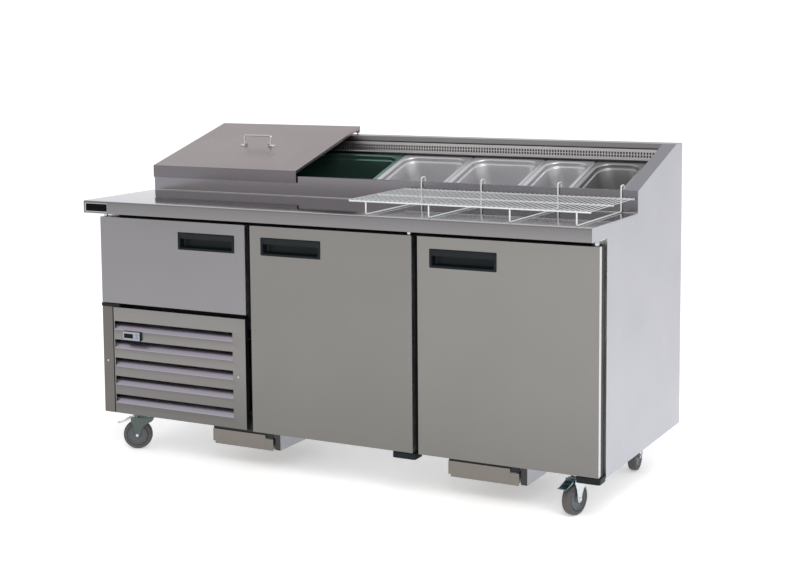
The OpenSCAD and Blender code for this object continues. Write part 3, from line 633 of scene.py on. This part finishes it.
# -------- wire shelf
def wire_shelf():
    """Three long rods, the close wires across them and four hangers that hook on the riser."""
    s = Shape()
    r, k = 2.5, SHELF
    z = k["z"] - r
    for y in (k["front"], (k["front"] + k["back"]) / 2, k["back"]):
        s.tube([(k["left"] + r, y, z), (k["right"] - r, y, z)], r, 0, 12)
    wires = 48
    step = (k["right"] - k["left"] - 2 * r) / wires
    for i in range(wires + 1):
        x = k["left"] + r + i * step
        s.tube([(x, k["front"] - 2, z + r + 0.6), (x, k["back"] + 2, z + r + 0.6)], 1.05, 0, 8)
    foot, back, front = TOP_Z + r + 0.3, k["back"] + 3.5, k["front"] + 3
    hook = RISER_Y + 23
    for x in HANGERS:
        s.tube([(x, front, z + 1), (x, front, foot), (x, back, foot), (x, back, RISER_Z + 14),
                (x, hook, RISER_Z + 14), (x, hook, RISER_Z - 6)], r, 7, 12, steps=7)
    s.done("wire_shelf_grid", "wire", "wire_shelf", ["wire_shelf"], slot="white_wire", smooth=50,
           merge=False)


# -------- doors
def door_parts():
    """What each door carries: its gasket, rear frame and handle."""
    for name, cx in DOOR_XS.items():
        left = name == "left"
        base = HALF_BASE if left else DOOR_BASE
        x0, x1 = cx - DOOR_W / 2, cx + DOOR_W / 2
        body = f"door_{name}"
        # gasket: a soft hollow profile round the door's back, mitred at the corners
        y0 = DOOR_Y + DOOR_T
        lips = [(9.5, 0), (9.2, 3.2), (11.4, 5.0), (9.2, 6.8), (9.4, 10.6), (10.6, 11.8), (18.6, 11.8),
                (20.4, 10.8), (20.2, 8.6), (22.6, 6.8), (22.8, 4.2), (20.4, 2.6), (22.4, 0)]
        loops = framed(x0, x1, base, DOOR_TOP, [(inset, y0 + dy) for inset, dy in lips])
        Shape().loft(loops, ring=True).done(f"{body}_seal", "gasket", body, [f"{body}_gasket"], smooth=50,
                                            slot="gasket_rubber")
        # the door's dark plastic rear frame, a little proud of its edges
        out, thick, deep = 0.35, 1.0, 20
        loops = framed(x0, x1, base, DOOR_TOP,
                       [(-out, y0 - deep), (-out, y0 - 0.4), (thick, y0 - 0.4), (thick, y0 - deep)])
        Shape().loft(loops, ring=True).done(f"{body}_frame", "gasket", body, slot="gasket_rubber", smooth=0)
        # handle: a moulded pocket with a deep top band that the fingers curl behind,
        # in rows of (inset, height taken off the top, depth behind the face, corner radius)
        hx = (x1 - HANDLE_IN - HANDLE_W / 2) if left else (x0 + HANDLE_IN + HANDLE_W / 2)
        hz = DOOR_TOP - HANDLE_DOWN - HANDLE_H / 2
        w, h = HANDLE_W, HANDLE_H
        rings = [(0, 0, 0.0, 2.5), (0.2, 0, -1.8, 2.5), (1.2, 0, -3.0, 2.5), (6.2, 0, -3.0, 2.5),
                 (7.6, 1, -2.2, 3), (8.2, 3, -0.4, 3), (8.6, 12.5, 1.6, 3), (8.8, 12.8, 5.0, 3),
                 (8.8, 4, 7.4, 3), (8.8, 1.0, 12.0, 3), (9.2, 0.6, 20.0, 4), (12.0, 3.0, 23.4, 5),
                 (20.0, 10.0, 24.0, 5)]
        shell = rounded(w - 8, h - 8, 3, 4, hx, hz)
        loops = [[(u, DOOR_Y + dy, v) for u, v in shell] for dy in (28, 0.05)]
        for inset, band, dy, r in rings:
            tall = h - 2 * inset - band
            outline = rounded(w - 2 * inset, tall, min(r, tall / 2 - 0.1), 4, hx, hz - band / 2)
            loops.append([(u, DOOR_Y + dy, v) for u, v in outline])
        s = Shape().loft(loops)
        s.done(f"{body}_pull", "black", body, [f"{body}_handle"], smooth=45, slot="black_plastic")


def hinges():
    """The doors' lower brackets and both their pins, and the lid's two hinges on the rear rail."""
    black, silver = Shape(), Shape()
    y, near, far = PIVOT_Y, 24, 56
    for name, x in PIVOT_XS.items():
        left = name == "left"
        base = HALF_BASE if left else DOOR_BASE
        top, high = base - 2, 11 if left else 18
        lo, hi = (x - near, x + far) if left else (x - far, x + near)
        lo, hi = max(lo, 0.2 - HALF_W), min(hi, HALF_W - 0.2)
        deep, mid_y = FACE_Y - DOOR_Y + 3, (FACE_Y + DOOR_Y - 3) / 2
        black.prism(rounded(hi - lo, deep, 8, 6, (lo + hi) / 2, mid_y), "z", top - high, top)
        silver.lathe([(0, top - 2), (4, top - 2), (4, base + 17), (3, base + 18), (0, base + 18)],
                     (x, y, 0), "z", 20)
        silver.lathe([(0, top - 1), (7, top - 1), (7, top + 1.4), (0, top + 1.4)], (x, y, 0), "z", 24)
        silver.lathe([(0, DOOR_TOP - 18), (4, DOOR_TOP - 18), (4, DOOR_TOP + 2.2), (7, DOOR_TOP + 2.4),
                      (7, TOP_UNDER - 3), (6, TOP_UNDER), (0, TOP_UNDER)], (x, y, 0), "z", 24)
        lo, hi = max(x - 17, -HALF_W + 2), min(x + 17, HALF_W - 2)
        silver.prism(rounded(hi - lo, 44, 6, 5, (lo + hi) / 2, y + 12), "z",
                     TOP_UNDER - 3, TOP_UNDER + 0.4)
    hy, hz = LID_BACK - 5, RAIL_Z + 9
    lug_top = hz + 4
    for x in (LID_LEFT + 3.5, LID_LEFT + LID_W - 6.5):
        silver.prism(rounded(10.5, lug_top - RAIL_Z, 3, 4, hy - 2.75, (RAIL_Z + lug_top) / 2), "x",
                     x, x + 3)
        a = x - 3.5 if x < LID_LEFT + LID_W / 2 else x
        silver.lathe([(0, a), (2.2, a), (2.5, a + 0.4), (2.5, a + 6.1), (2.2, a + 6.5), (0, a + 6.5)],
                     (0, hy, hz), "x", 20)
    black.done("door_brackets", "black", "root", ["hinge_brackets"], bevel=1.6, segments=3,
               slot="black_plastic")
    silver.done("hinge_pins", "zinc", "root", bevel=0.3, slot="zinc_steel")


# -------- louvred machine bay front
def louvres():
    """A folded sheet with five slots, and a curved blade that leans in behind each."""
    deep, sheet, y = 22, 1.6, LOUVRE_Y
    xs = [LOUVRE_LEFT, SLOT_LEFT, SLOT_RIGHT, LOUVRE_RIGHT]
    tops = [SLOT_TOP - i * SLOT_PITCH for i in range(SLOTS)]
    zs = sorted([DOOR_BASE, LOUVRE_TOP] + tops + [t - SLOT_H - 5.0 for t in tops])
    s = Shape().plate(xs, zs, lambda i, j: i == 1 and j % 2 == 1, y, y + sheet)
    for a, b in ((LOUVRE_LEFT, LOUVRE_LEFT + sheet), (LOUVRE_RIGHT - sheet, LOUVRE_RIGHT)):
        s.box((a, y + 0.1, DOOR_BASE), (b, y + deep, LOUVRE_TOP))
    for a, b in ((DOOR_BASE, DOOR_BASE + sheet), (LOUVRE_TOP - sheet, LOUVRE_TOP)):
        s.box((LOUVRE_LEFT, y + 0.1, a), (LOUVRE_RIGHT, y + deep, b))
    s.done("louvre_front", "louvre", "root", ["louvre_panel"], bevel=0.5, slot="door_steel")
    blades = Shape()
    up, long, bend, thick = 50, 26, 5.0, 1.4
    run, rise = long * cos(radians(up)), long * sin(radians(up))
    for top in tops:
        z = top - SLOT_H
        sides = []
        for r in (bend, bend - thick):
            curve = arc(bend, z - bend, r, 180, 90 + up, 7)
            end_y, end_z = curve[-1]
            sides.append([(bend - r, z - 5.4)] + curve + [(end_y + run, end_z + rise)])
        outer, inner = sides
        blades.prism([(y + u, v) for u, v in outer + inner[::-1]], "x", SLOT_LEFT + 0.3, SLOT_RIGHT - 0.3)
    blades.done("louvre_blades", "blade", "root", smooth=35, slot="door_steel")


def thermostat():
    """A dark body and a pale face, both with wells for the two buttons, and a blank display."""
    x, z, y = SLOT_LEFT + 40, SLOT_TOP - SLOT_H - 36, LOUVRE_Y
    cz = z + 15.5
    keyways = {(3, 1), (3, 3)}
    us = [x + 0.2, x + 8, x + 41, x + 54.2, x + 62.6, x + 71.8]
    vs = [z + 0.2, z + 7.8, z + 14.2, z + 16.8, z + 23.2, z + 30.8]
    body = Shape().plate(us, vs, lambda i, j: (i, j) in keyways, y - 8.2, y - 0.02)
    body.box((x + 5, y, z + 3), (x + 67, y + 14, z + 28))
    body.done("thermostat_body", "black", "root", ["thermostat"], bevel=0.3, slot="black_plastic")
    us = [x + 1.2, x + 5.5, x + 43.5, x + 54.2, x + 62.6, x + 70.8]
    vs = [z + 1.2, z + 7.8, z + 14.2, z + 16.8, z + 23.2, z + 29.8]
    holes = keyways | {(1, 1), (1, 2), (1, 3)}
    face = Shape().plate(us, vs, lambda i, j: (i, j) in holes, y - 9, y - 8.1)
    face.done("thermostat_face", "bezel", "root", bevel=0.3, slot="grey_plastic")
    Shape().prism(rounded(38, 15.4, 1, 4, x + 24.5, cz), "y", y - 8.6, y - 8.15).done(
        "thermostat_display", "glass", "root", bevel=0.15, slot="black_plastic")


def screw_heads():
    """Pan heads with a cross recess, each facing out along its own axis."""
    s = Shape()
    turns = {"-y": Matrix.Rotation(pi / 2, 4, "X"), "+x": Matrix.Rotation(pi / 2, 4, "Y"),
             "-x": Matrix.Rotation(-pi / 2, 4, "Y")}
    spots = [((LOUVRE_LEFT - 25, LOUVRE_Y - 2, 322), "-y", 4, 1.8),
             ((LOUVRE_RIGHT - 28, LOUVRE_Y, 315), "-y", 4, 1.8)]
    spots += [((x, STRIP_Y, STRIP_LOW + 30.7), "-y", 3, 1.5) for x in (-60, 420)]
    spots += [((sx * HALF_W, y, TOP_Z - 22), "+x" if sx > 0 else "-x", 3.5, 1.0)
              for sx in (-1, 1) for y in (RISER_Y - 45, RISER_Y + 150)]
    for at, way, r, h in spots:
        s.place = Matrix.Translation(at) @ turns[way]
        arm, tip = r * 0.16, r * 0.6
        cross = [(arm, arm), (arm, tip), (-arm, tip), (-arm, arm), (-tip, arm), (-tip, -arm),
                 (-arm, -arm), (-arm, -tip), (arm, -tip), (arm, -arm), (tip, -arm), (tip, arm)]
        dense = []
        for a, b in zip(cross, cross[1:] + cross[:1]):
            dense += [(a[0] + (b[0] - a[0]) * k / 3, a[1] + (b[1] - a[1]) * k / 3) for k in range(3)]
        angle = [atan2(q, p) for p, q in dense]
        loops = [[(r * k * cos(t), r * k * sin(t), h * u) for t in angle]
                 for k, u in ((0.9, -0.1), (1, 0.12), (0.97, 0.5), (0.86, 0.85), (0.72, 0.97))]
        loops += [[(p, q, h) for p, q in dense], [(p, q, h * 0.25) for p, q in dense]]
        s.loft(loops)
    s.done("screw_heads", "zinc", "root", ["screws"], smooth=30, slot="zinc_steel")


# -------- casters
def about_axle(rows, sides=72):
    """Loops about the wheel's axle, one for each (radius, along) row."""
    return [[(along, -TRAIL + p, WHEEL_R + q) for p, q in polygon(r, sides)] for r, along in rows]


def mirrored(rows):
    """The (radius, along) rows of one side of a wheel, followed by those of the other."""
    return rows + [(r, -a) for r, a in rows[::-1]]


def caster(name, x, y, yaw):
    """The fork, axle, tyre, hub and bearings of a caster; gives back its plate's shape."""
    here = Matrix.Translation((x, y, 0)) @ Matrix.Rotation(radians(yaw), 4, "Z")
    t, leg = FORK_TOP, WHEEL_T / 2 + 1.5
    fork = Shape(here)
    fork.lathe([(6.2, t - 9.5), (24, t - 9.5), (29, t - 8.5), (31.5, t - 5), (31, t - 2.2),
                (28.5, t - 1.0), (20, t - 1.0), (6.2, t - 1.0), (6.2, t - 9.5)], (0, 0, 0), "z", 56)
    fork.prism(rounded(2 * leg + 6, 56, 5, 6, 0, -9), "z", t - 12.5, t - 9)
    sweep = ([(-TRAIL - 20, t - 9.5), (-TRAIL - 22, t - 16), (-TRAIL - 21, t - 24),
              (-TRAIL - 15, WHEEL_R + 34), (-TRAIL - 11.5, WHEEL_R + 20), (-TRAIL - 10.2, WHEEL_R + 8)]
             + arc(-TRAIL, WHEEL_R, 10, 170, 370, 14)
             + [(-TRAIL + 13, WHEEL_R + 14), (-TRAIL + 20, WHEEL_R + 27), (-TRAIL + 33, WHEEL_R + 39),
                (-TRAIL + 50, WHEEL_R + 47), (27, t - 17), (27, t - 9.5)])
    for sx in (-leg - 3, leg):
        fork.prism(sweep, "x", sx, sx + 3)
    # the front-left fork takes the darker zinc, a painted shade
    finish = "fork_shaded" if name == "front_left" else "zinc"
    fork.done(f"caster_fork_{name}", finish, f"fork_{name}", [f"fork_{name}"], bevel=0.7, segments=3,
              slot="zinc_steel")
    bolt, end = Shape(here), leg + 3
    bolt.lathe([(0, -end - 1), (5, -end - 1), (5, end + 1), (0, end + 1)], (0, -TRAIL, WHEEL_R), "x", 24)
    for a, b in ((-end - 4, -end), (end, end + 4)):
        bolt.prism(polygon(5.6, 6, -TRAIL, WHEEL_R), "x", a, b)
    bolt.done(f"caster_axle_{name}", "zinc", f"fork_{name}", bevel=0.5, slot="zinc_steel")
    h = WHEEL_T / 2
    tread = [(36.6, -h + 2.6), (38.0, -h + 1.2), (44.0, -h + 0.6), (47.0, -h + 2.0), (49.0, -h + 5.0),
             (49.8, -h + 9), (50, -h + 12), (50, 0)]
    tread += [(r, -a) for r, a in tread[-2::-1]] + [(36.6, 0)]
    wheel = Shape(here).loft(about_axle(tread), ring=True)
    wheel.done(f"caster_tyre_{name}", "tyre", f"wheel_{name}", [f"wheel_{name}"], smooth=50,
               slot="wheel_rubber")
    dish = [(5.1, -h + 0.2), (9.5, -h + 0.2), (10.5, -h + 1.2), (11.5, -h + 3.6), (28.5, -h + 3.0),
            (30.0, -h + 1.0), (33.6, -h + 0.6), (34.6, -h + 2.2), (35.4, -h + 4.6), (36.7, -h + 4.6)]
    hub = Shape(here).loft(about_axle(mirrored(dish)), ring=True)
    hub.done(f"caster_hub_{name}", "hub", f"wheel_{name}", smooth=40, slot="wheel_rubber")
    cap = Shape(here)
    for sx in (-1, 1):
        cap.lathe([(5.2, sx * (h - 2.0)), (9.0, sx * (h - 1.4)), (9.2, sx * (h + 0.5)),
                   (5.2, sx * (h + 0.7)), (5.2, sx * (h - 2.0))], (0, -TRAIL, WHEEL_R), "x", 32)
    cap.done(f"caster_bearing_{name}", "zinc", f"wheel_{name}", smooth=40, slot="zinc_steel")
    plate = Shape(Matrix.Translation((x, y, 0)))
    plate.prism(rounded(84, 72, 7, 6), "z", 125, 129.9)
    plate.lathe([(6, 116), (5.9, 116), (5.9, 122), (20, 122), (26, 122.4), (27, 124), (26, 125.4),
                 (6, 125.4), (6, 116)], (0, 0, 0), "z", 48)
    for bx in (-33, 33):
        for by in (-27, 27):
            plate.prism(polygon(6, 6, bx, by), "z", 121, 125.2)
    return plate


def pedal(name, x, y, yaw):
    """A crowned brake pedal over a front wheel, with a raised pad."""
    here = (Matrix.Translation((x, y, 0)) @ Matrix.Rotation(radians(yaw), 4, "Z")
            @ Matrix.Translation((0, -TRAIL - 14, 106)) @ Matrix.Rotation(radians(14), 4, "X"))
    s, half = Shape(here), WHEEL_T / 2 - 1
    side = [(5.5, 4.5), (-2, 6.8), (-14, 6.2), (-30, 2.6), (-46, -0.6), (-54, -0.4), (-56, 1.6),
            (-57.2, 1.0), (-56, -2.2), (-46, -3.6), (-30, -2.4), (-14, -1.2), (-5.5, -3.4), (-5, -5),
            (0, -5.4), (4.6, -3.6)]
    loops = []
    for k in range(9):
        u = -1 + k / 4
        lift = 0.8 * (1 - u * u)
        loops.append([(half * u, p, q + (lift if q > 0 else 0)) for p, q in side])
    s.loft(loops)
    # the front-left pedal takes the bright zinc and the front-right one the dark teal zinc: one part, with
    # painted light and shade
    finish = "zinc" if name == "front_left" else "pedal"
    s.done(f"brake_pedal_{name}", finish, f"pedal_{name}", [f"pedal_{name}"], bevel=0.5, smooth=35,
           slot="black_plastic")
    pad = Shape(here)
    pad.prism([(-9, 7.4), (-12, 9.0), (-26, 6.2), (-29, 3.2), (-26, 3.6), (-12, 6.6)], "x",
              4 - half, half - 4)
    pad.done(f"brake_pad_{name}", finish, f"pedal_{name}", bevel=0.8, smooth=35, slot="black_plastic")


def casters():
    plates = Shape()
    for name, (x, y, yaw) in CASTERS.items():
        one = caster(name, x, y, yaw)
        n = len(plates.v)
        plates.v += one.v
        plates.f += [[n + i for i in f] for f in one.f]
        if name.startswith("front"):
            pedal(name, x, y, yaw)
    plates.done("caster_mounts", "zinc", "root", ["caster_plates"], bevel=0.4, slot="zinc_steel")


# -------- back, with the machine bay's vent
def back():
    """The back sheet with the machine bay's two vents, and their slanting blades."""
    vents = ((-820, -600), (-590, -370))
    foot, z0, slats, pitch, gap = 130, 200, 12, 22, 11
    us = [-HALF_IN, *vents[0], *vents[1], HALF_IN]
    vs = [foot]
    for i in range(slats):
        vs += [z0 + i * pitch, z0 + i * pitch + gap]
    vs.append(RAIL_LOW)
    s = Shape().plate(us, vs, lambda i, j: i in (1, 3) and j % 2 == 1, BACK_Y - 1.2, BACK_Y)
    s.plate([-HALF_IN, -830, -360, HALF_IN], [foot, 190, 470, RAIL_LOW], lambda i, j: i == j == 1,
            LINING_Y, BACK_Y - 1.1)
    s.done("back_sheet", "back", "root", ["back_panel"], bevel=0.3, slot="panel_steel", smooth=25)
    blades = Shape()
    for a, b in vents:
        for i in range(slats):
            z = z0 + i * pitch + gap
            blades.prism([(BACK_Y - 1.1, z + 0.5), (BACK_Y - 9, z - 12), (BACK_Y - 10, z - 11.4),
                          (BACK_Y - 2.2, z + 1.5)], "x", a, b)
    blades.done("back_vent_blades", "back", "root", smooth=25, slot="panel_steel")


# -------- inside
def inner_racks():
    """Wire racks on slotted posts: two in each tall compartment and one over the machine bay."""
    wires, posts = Shape(), Shape()
    r, y0, y1 = 2.5, FACE_Y + 60, LINING_Y - 40
    racks = (("middle", BAY_X + 52, 296.5, (330, 560)), ("right", 306.5, HALF_IN - 8, (330, 560)),
             ("left", 8 - HALF_IN, BAY_X + 38, (BAY_Z + 12,)))
    for side, a, b, levels in racks:
        for z in levels:
            wires.tube([(a + r, y0 + r, z + r), (b - r, y0 + r, z + r), (b - r, y1 - r, z + r),
                        (a + r, y1 - r, z + r)], r, 8, 10, ring=True)
            for y in (y0 + (y1 - y0) / 3, y0 + (y1 - y0) * 2 / 3):
                wires.tube([(a + r, y, z + r), (b - r, y, z + r)], 2.4, 0, 10)
            n = int((b - a) / 19)
            for i in range(1, n):
                x = a + (b - a) * i / n
                wires.tube([(x, y0 + 1, z + 6.2), (x, y1 - 1, z + 6.2)], 1.5, 0, 8)
        low = BAY_Z if side == "left" else CABINET_Z
        vs = [low]
        for z in range(low + 20, POST_TOP - 10, 20):
            vs += [z, z + 8]
        vs.append(POST_TOP)
        for y in (FACE_Y + 66, LINING_Y - 60):
            for x, deep in ((a - 3, 3), (b + 1.4, 1.6)):
                posts.plate([y, y + 5, y + 11, y + 16], vs, lambda i, j: i == 1 and j % 2 == 1,
                            x, x + 1.6, "x")
                for dy in (0, 14.4):
                    posts.box((x, y + dy, low), (x + deep, y + dy + 1.6, POST_TOP))
    wires.done("inner_racks", "wire", "root", ["inner_shelves"], smooth=50, slot="white_wire", merge=False)
    posts.done("rack_posts", "liner", "root", bevel=0.2, slot="liner_steel")


def fan(name, centre, y, r, depth):
    """A hub and four bowed blades, twisted and swept from root to tip."""
    x, z = centre
    s = Shape()
    s.lathe([(3.3, y), (r * 0.24, y), (r * 0.28, y + 2), (r * 0.28, y + depth - 2), (r * 0.24, y + depth),
             (3.3, y + depth), (3.3, y)], (x, 0, z), "y", 40)
    for k in range(4):
        a0 = TAU * k / 4
        loops = []
        for i in range(9):
            out = i / 8
            q = 0.26 + 0.70 * out
            chord = r * (0.30 + 0.26 * sin(pi * (0.15 + 0.75 * out)))
            pitch = radians(34 - 16 * out)
            sweepback = 0.25 * out ** 2
            loop = []
            for side in (1, -1):
                for j in range(9):
                    u = (-0.5 + j / 8) * side
                    along = chord * u
                    bow = 1.8 * (1 - 4 * u * u) + side * 0.6
                    ang = a0 + sweepback + along * cos(pitch) / (q * r)
                    rise, most = along * sin(pitch) * 0.6 + bow, depth / 2 - 1
                    rise = max(-most, min(most, rise))
                    loop.append((x + q * r * cos(ang), y + depth / 2 + rise, z + q * r * sin(ang)))
            loops.append(loop)
        s.loft(loops)
    s.done(f"{name}_blades", "black", name, [name], smooth=45, slot="black_plastic")


def machine_bay():
    """The refrigeration: two fans, two finned coils, the compressor and the copper lines."""
    coil_y, fan_x, fan_z = FACE_Y - 12, (LOUVRE_LEFT + BAY_X) / 2, 330
    fan("condenser_fan", (fan_x, fan_z), coil_y + 40, 105, 20)
    fan("evaporator_fan", (-600, 660), 211, 74, 26)
    for name, (x0, x1), (y0, y1), (z0, z1), ys, zs, pitch in (
            ("condenser_coil", (-840, -360), (coil_y, coil_y + 36), (185, 455), (coil_y + 9, coil_y + 27),
             range(205, 431, 45), 4.0),
            ("evaporator_coil", (-830, -370), (280, 355), (578, 742), (295, 325), range(600, 721, 40), 5.0)):
        fins = Shape()
        w, bent, mid = 0.7, 0.6, (y0 + y1) / 2
        for i in range(int((x1 - x0) / pitch)):
            x = x0 + i * pitch
            fins.prism([(x, y0), (x + w, y0), (x + w + bent, mid), (x + w, y1), (x, y1), (x + bent, mid)],
                       "z", z0, z1)
        fins.done(f"{name}_fins", "fin", "root", [name], smooth=0, slot="fin_aluminium", merge=False)
        pipes = Shape()
        zs = list(zs)
        for y in ys:
            for z in zs:
                pipes.tube([(x0 - 3, y, z), (x1 + 1, y, z)], 4.6, 0, 14)
        for i, z in enumerate(zs[:-1]):
            for y in ys:
                x, out = (x1, 4) if i % 2 == 0 else (x0 - 2, -4)
                above = z + zs[1] - zs[0]
                pipes.tube([(x, y, z), (x + out, y, z), (x + out, y, above), (x, y, above)],
                           3.0, 3.5, 10, steps=4)
        pipes.done(f"{name}_tubes", "copper", "root", smooth=50, slot="copper")
    comp, x, y, z = Shape(), -720, 120, CABINET_Z
    comp.lathe([(0, z + 12), (52, z + 12), (66, z + 15), (77, z + 24), (82, z + 36), (83, z + 92),
                (85.5, z + 93), (86.5, z + 96), (85.5, z + 99), (83, z + 100), (83, z + 124), (80, z + 144),
                (70, z + 163), (52, z + 176), (28, z + 184), (0, z + 186)], (x, y, 0), "z", 64)
    comp.prism(rounded(190, 140, 12, 6, x, y), "z", z + 4, z + 9)
    comp.prism(rounded(46, 60, 6, 5, x, z + 80), "y", y - 108, y - 78)
    comp.done("compressor_shell", "paint", "root", ["compressor"], bevel=0.8, smooth=35, slot="black_paint")
    feet = Shape()
    for sx in (-80, 80):
        for sy in (-55, 55):
            feet.lathe([(0, z), (12, z), (12.6, z + 2), (11, z + 5), (9.5, z + 6), (9.5, z + 8),
                        (11, z + 10), (9, z + 13), (0, z + 13)], (x + sx, y + sy, 0), "z", 28)
    feet.done("compressor_feet", "gasket", "root", smooth=40, slot="gasket_rubber")
    tubes = Shape()
    end_x = -353
    tubes.tube([(x, 30, 250), (-560, 30, 250), (-560, 30, 400), (-560, -180, 400), (-560, -180, 430),
                (end_x, -180, 430), (end_x, coil_y + 27, 430), (end_x - 6.5, coil_y + 27, 430)], 5, 18, 16)
    tubes.tube([(-634, 120, 300), (-450, 120, 300), (-450, 357, 300), (-450, 357, 567)], 5, 18, 16)
    tubes.done("copper_lines", "copper", "root", ["refrigerant_pipes"], smooth=50, slot="copper")


def tray_shadow_bars():
    """A black bar over the front of each drip tray, fixed under the base: a painted shadow in the gap over
    the tray.
    """
    for side in ("left", "right"):
        (x0, y0, _), (x1, _, _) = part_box(f"drip_tray_{side}")
        x0, y0, x1 = x0 / MM, y0 / MM, x1 / MM
        s = Shape().prism([(y0 + 3.5, 108), (y0 + 3.5, 129.6), (y0 + 9, 129.6), (y0 + 9, 112),
                           (y0 + 7, 108)], "x", x0 + 1, x1 - 1)
        s.done(f"tray_shadow_bar_{side}", "gasket", "root", bevel=0.4, slot="black_plastic")


dress("condenser_shroud", "paint", 1.0)
dress("evaporator_housing", "grey", 1.5, 3)
worktop()
badge()
air_strip()
pans()
bail()
wire_shelf()
door_parts()
hinges()
louvres()
thermostat()
screw_heads()
casters()
back()
tray_shadow_bars()
inner_racks()
machine_bay()


# -------- floor, light, camera
def floor():
    """A wide, matt, nearly white floor that glows a little, so that it meets the white around it."""
    r, n = 60000, 96
    s = Shape().loft([[(p, q, z) for p, q in polygon(r, n)] for z in (-30, 0)])
    me = bpy.data.meshes.new("studio_floor")
    me.from_pydata([p * MM for p in s.v], [], s.f)
    ob = link("studio_floor", me)
    m, t, b = nodes_of("studio_floor")
    mix = tint(t, spread(t, noise_of(t, 0.6), 0, 1), (0.90, 0.90, 0.90), (0.94, 0.94, 0.94))
    join(t, mix, "Result", b, "Base Color")
    put(b, Roughness=0.9, Specular_IOR_Level=0.1, Emission_Color=(1, 1, 1, 1), Emission_Strength=0.35)
    me.materials.append(m)


def studio():
    """A soft white room, a little darker and warmer in front. The camera sees plain white."""
    w = bpy.data.worlds.new("studio")
    bpy.context.scene.world = w
    w.use_nodes = True
    t = w.node_tree
    back_light = t.nodes["Background"]
    co = new(t, "TexCoord")
    sep = new(t, "SeparateXYZ")
    join(t, co, "Generated", sep, 0)
    ry = put(new(t, "MapRange"), From_Min=-0.8, From_Max=0.9)
    ry.interpolation_type = "SMOOTHSTEP"
    join(t, sep, "Y", ry, "Value")
    mix = tint(t, ry, (0.80, 0.78, 0.76), (1.0, 1.0, 1.04))
    join(t, mix, "Result", back_light, "Color")
    put(back_light, Strength=0.95)
    seen = put(new(t, "Background"), Color=(1, 1, 1, 1), Strength=1.05)
    path = new(t, "LightPath")
    both = new(t, "MixShader")
    join(t, path, "Is Camera Ray", both, 0)
    join(t, back_light, 0, both, 1)
    join(t, seen, 0, both, 2)
    t.links.new(both.outputs[0], t.nodes["World Output"].inputs["Surface"])
    key = bpy.data.lights.new("key", "AREA")
    key.shape, key.size, key.energy = "SQUARE", 3.0, 150
    ob = link("key", key)
    ob.location = (2.5, -3.5, 4.2)
    ob.rotation_euler = (Vector((0, 0, 0.6)) - ob.location).to_track_quat("-Z", "Y").to_euler()


def camera():
    """The photograph's camera: its focal length in pixels, place and angles come from the fitted edges."""
    yaw, pitch, roll = (radians(a) for a in (CAMERA_YAW, CAMERA_PITCH, CAMERA_ROLL))
    level = Vector((-sin(yaw), cos(yaw), 0))
    side = Vector((cos(yaw), sin(yaw), 0))
    z = Vector((0, 0, 1))
    ahead = level * cos(pitch) + z * sin(pitch)
    above = z * cos(pitch) - level * sin(pitch)
    right = side * cos(roll) + above * sin(roll)
    up = above * cos(roll) - side * sin(roll)
    cam = bpy.data.cameras.new("camera")
    cam.sensor_width = 36
    cam.lens = FOCAL_PX / IMAGE_W * cam.sensor_width
    cam.shift_y = -0.125
    cam.clip_end = 200
    ob = link("camera", cam)
    turn = Matrix((right, up, -ahead)).transposed().to_4x4()
    ob.matrix_world = Matrix.Translation(CAMERA_AT) @ turn
    bpy.context.scene.camera = ob


floor()
studio()
camera()
bpy.context.scene.view_settings.view_transform = "Standard"

bpy.context.view_layer.update()
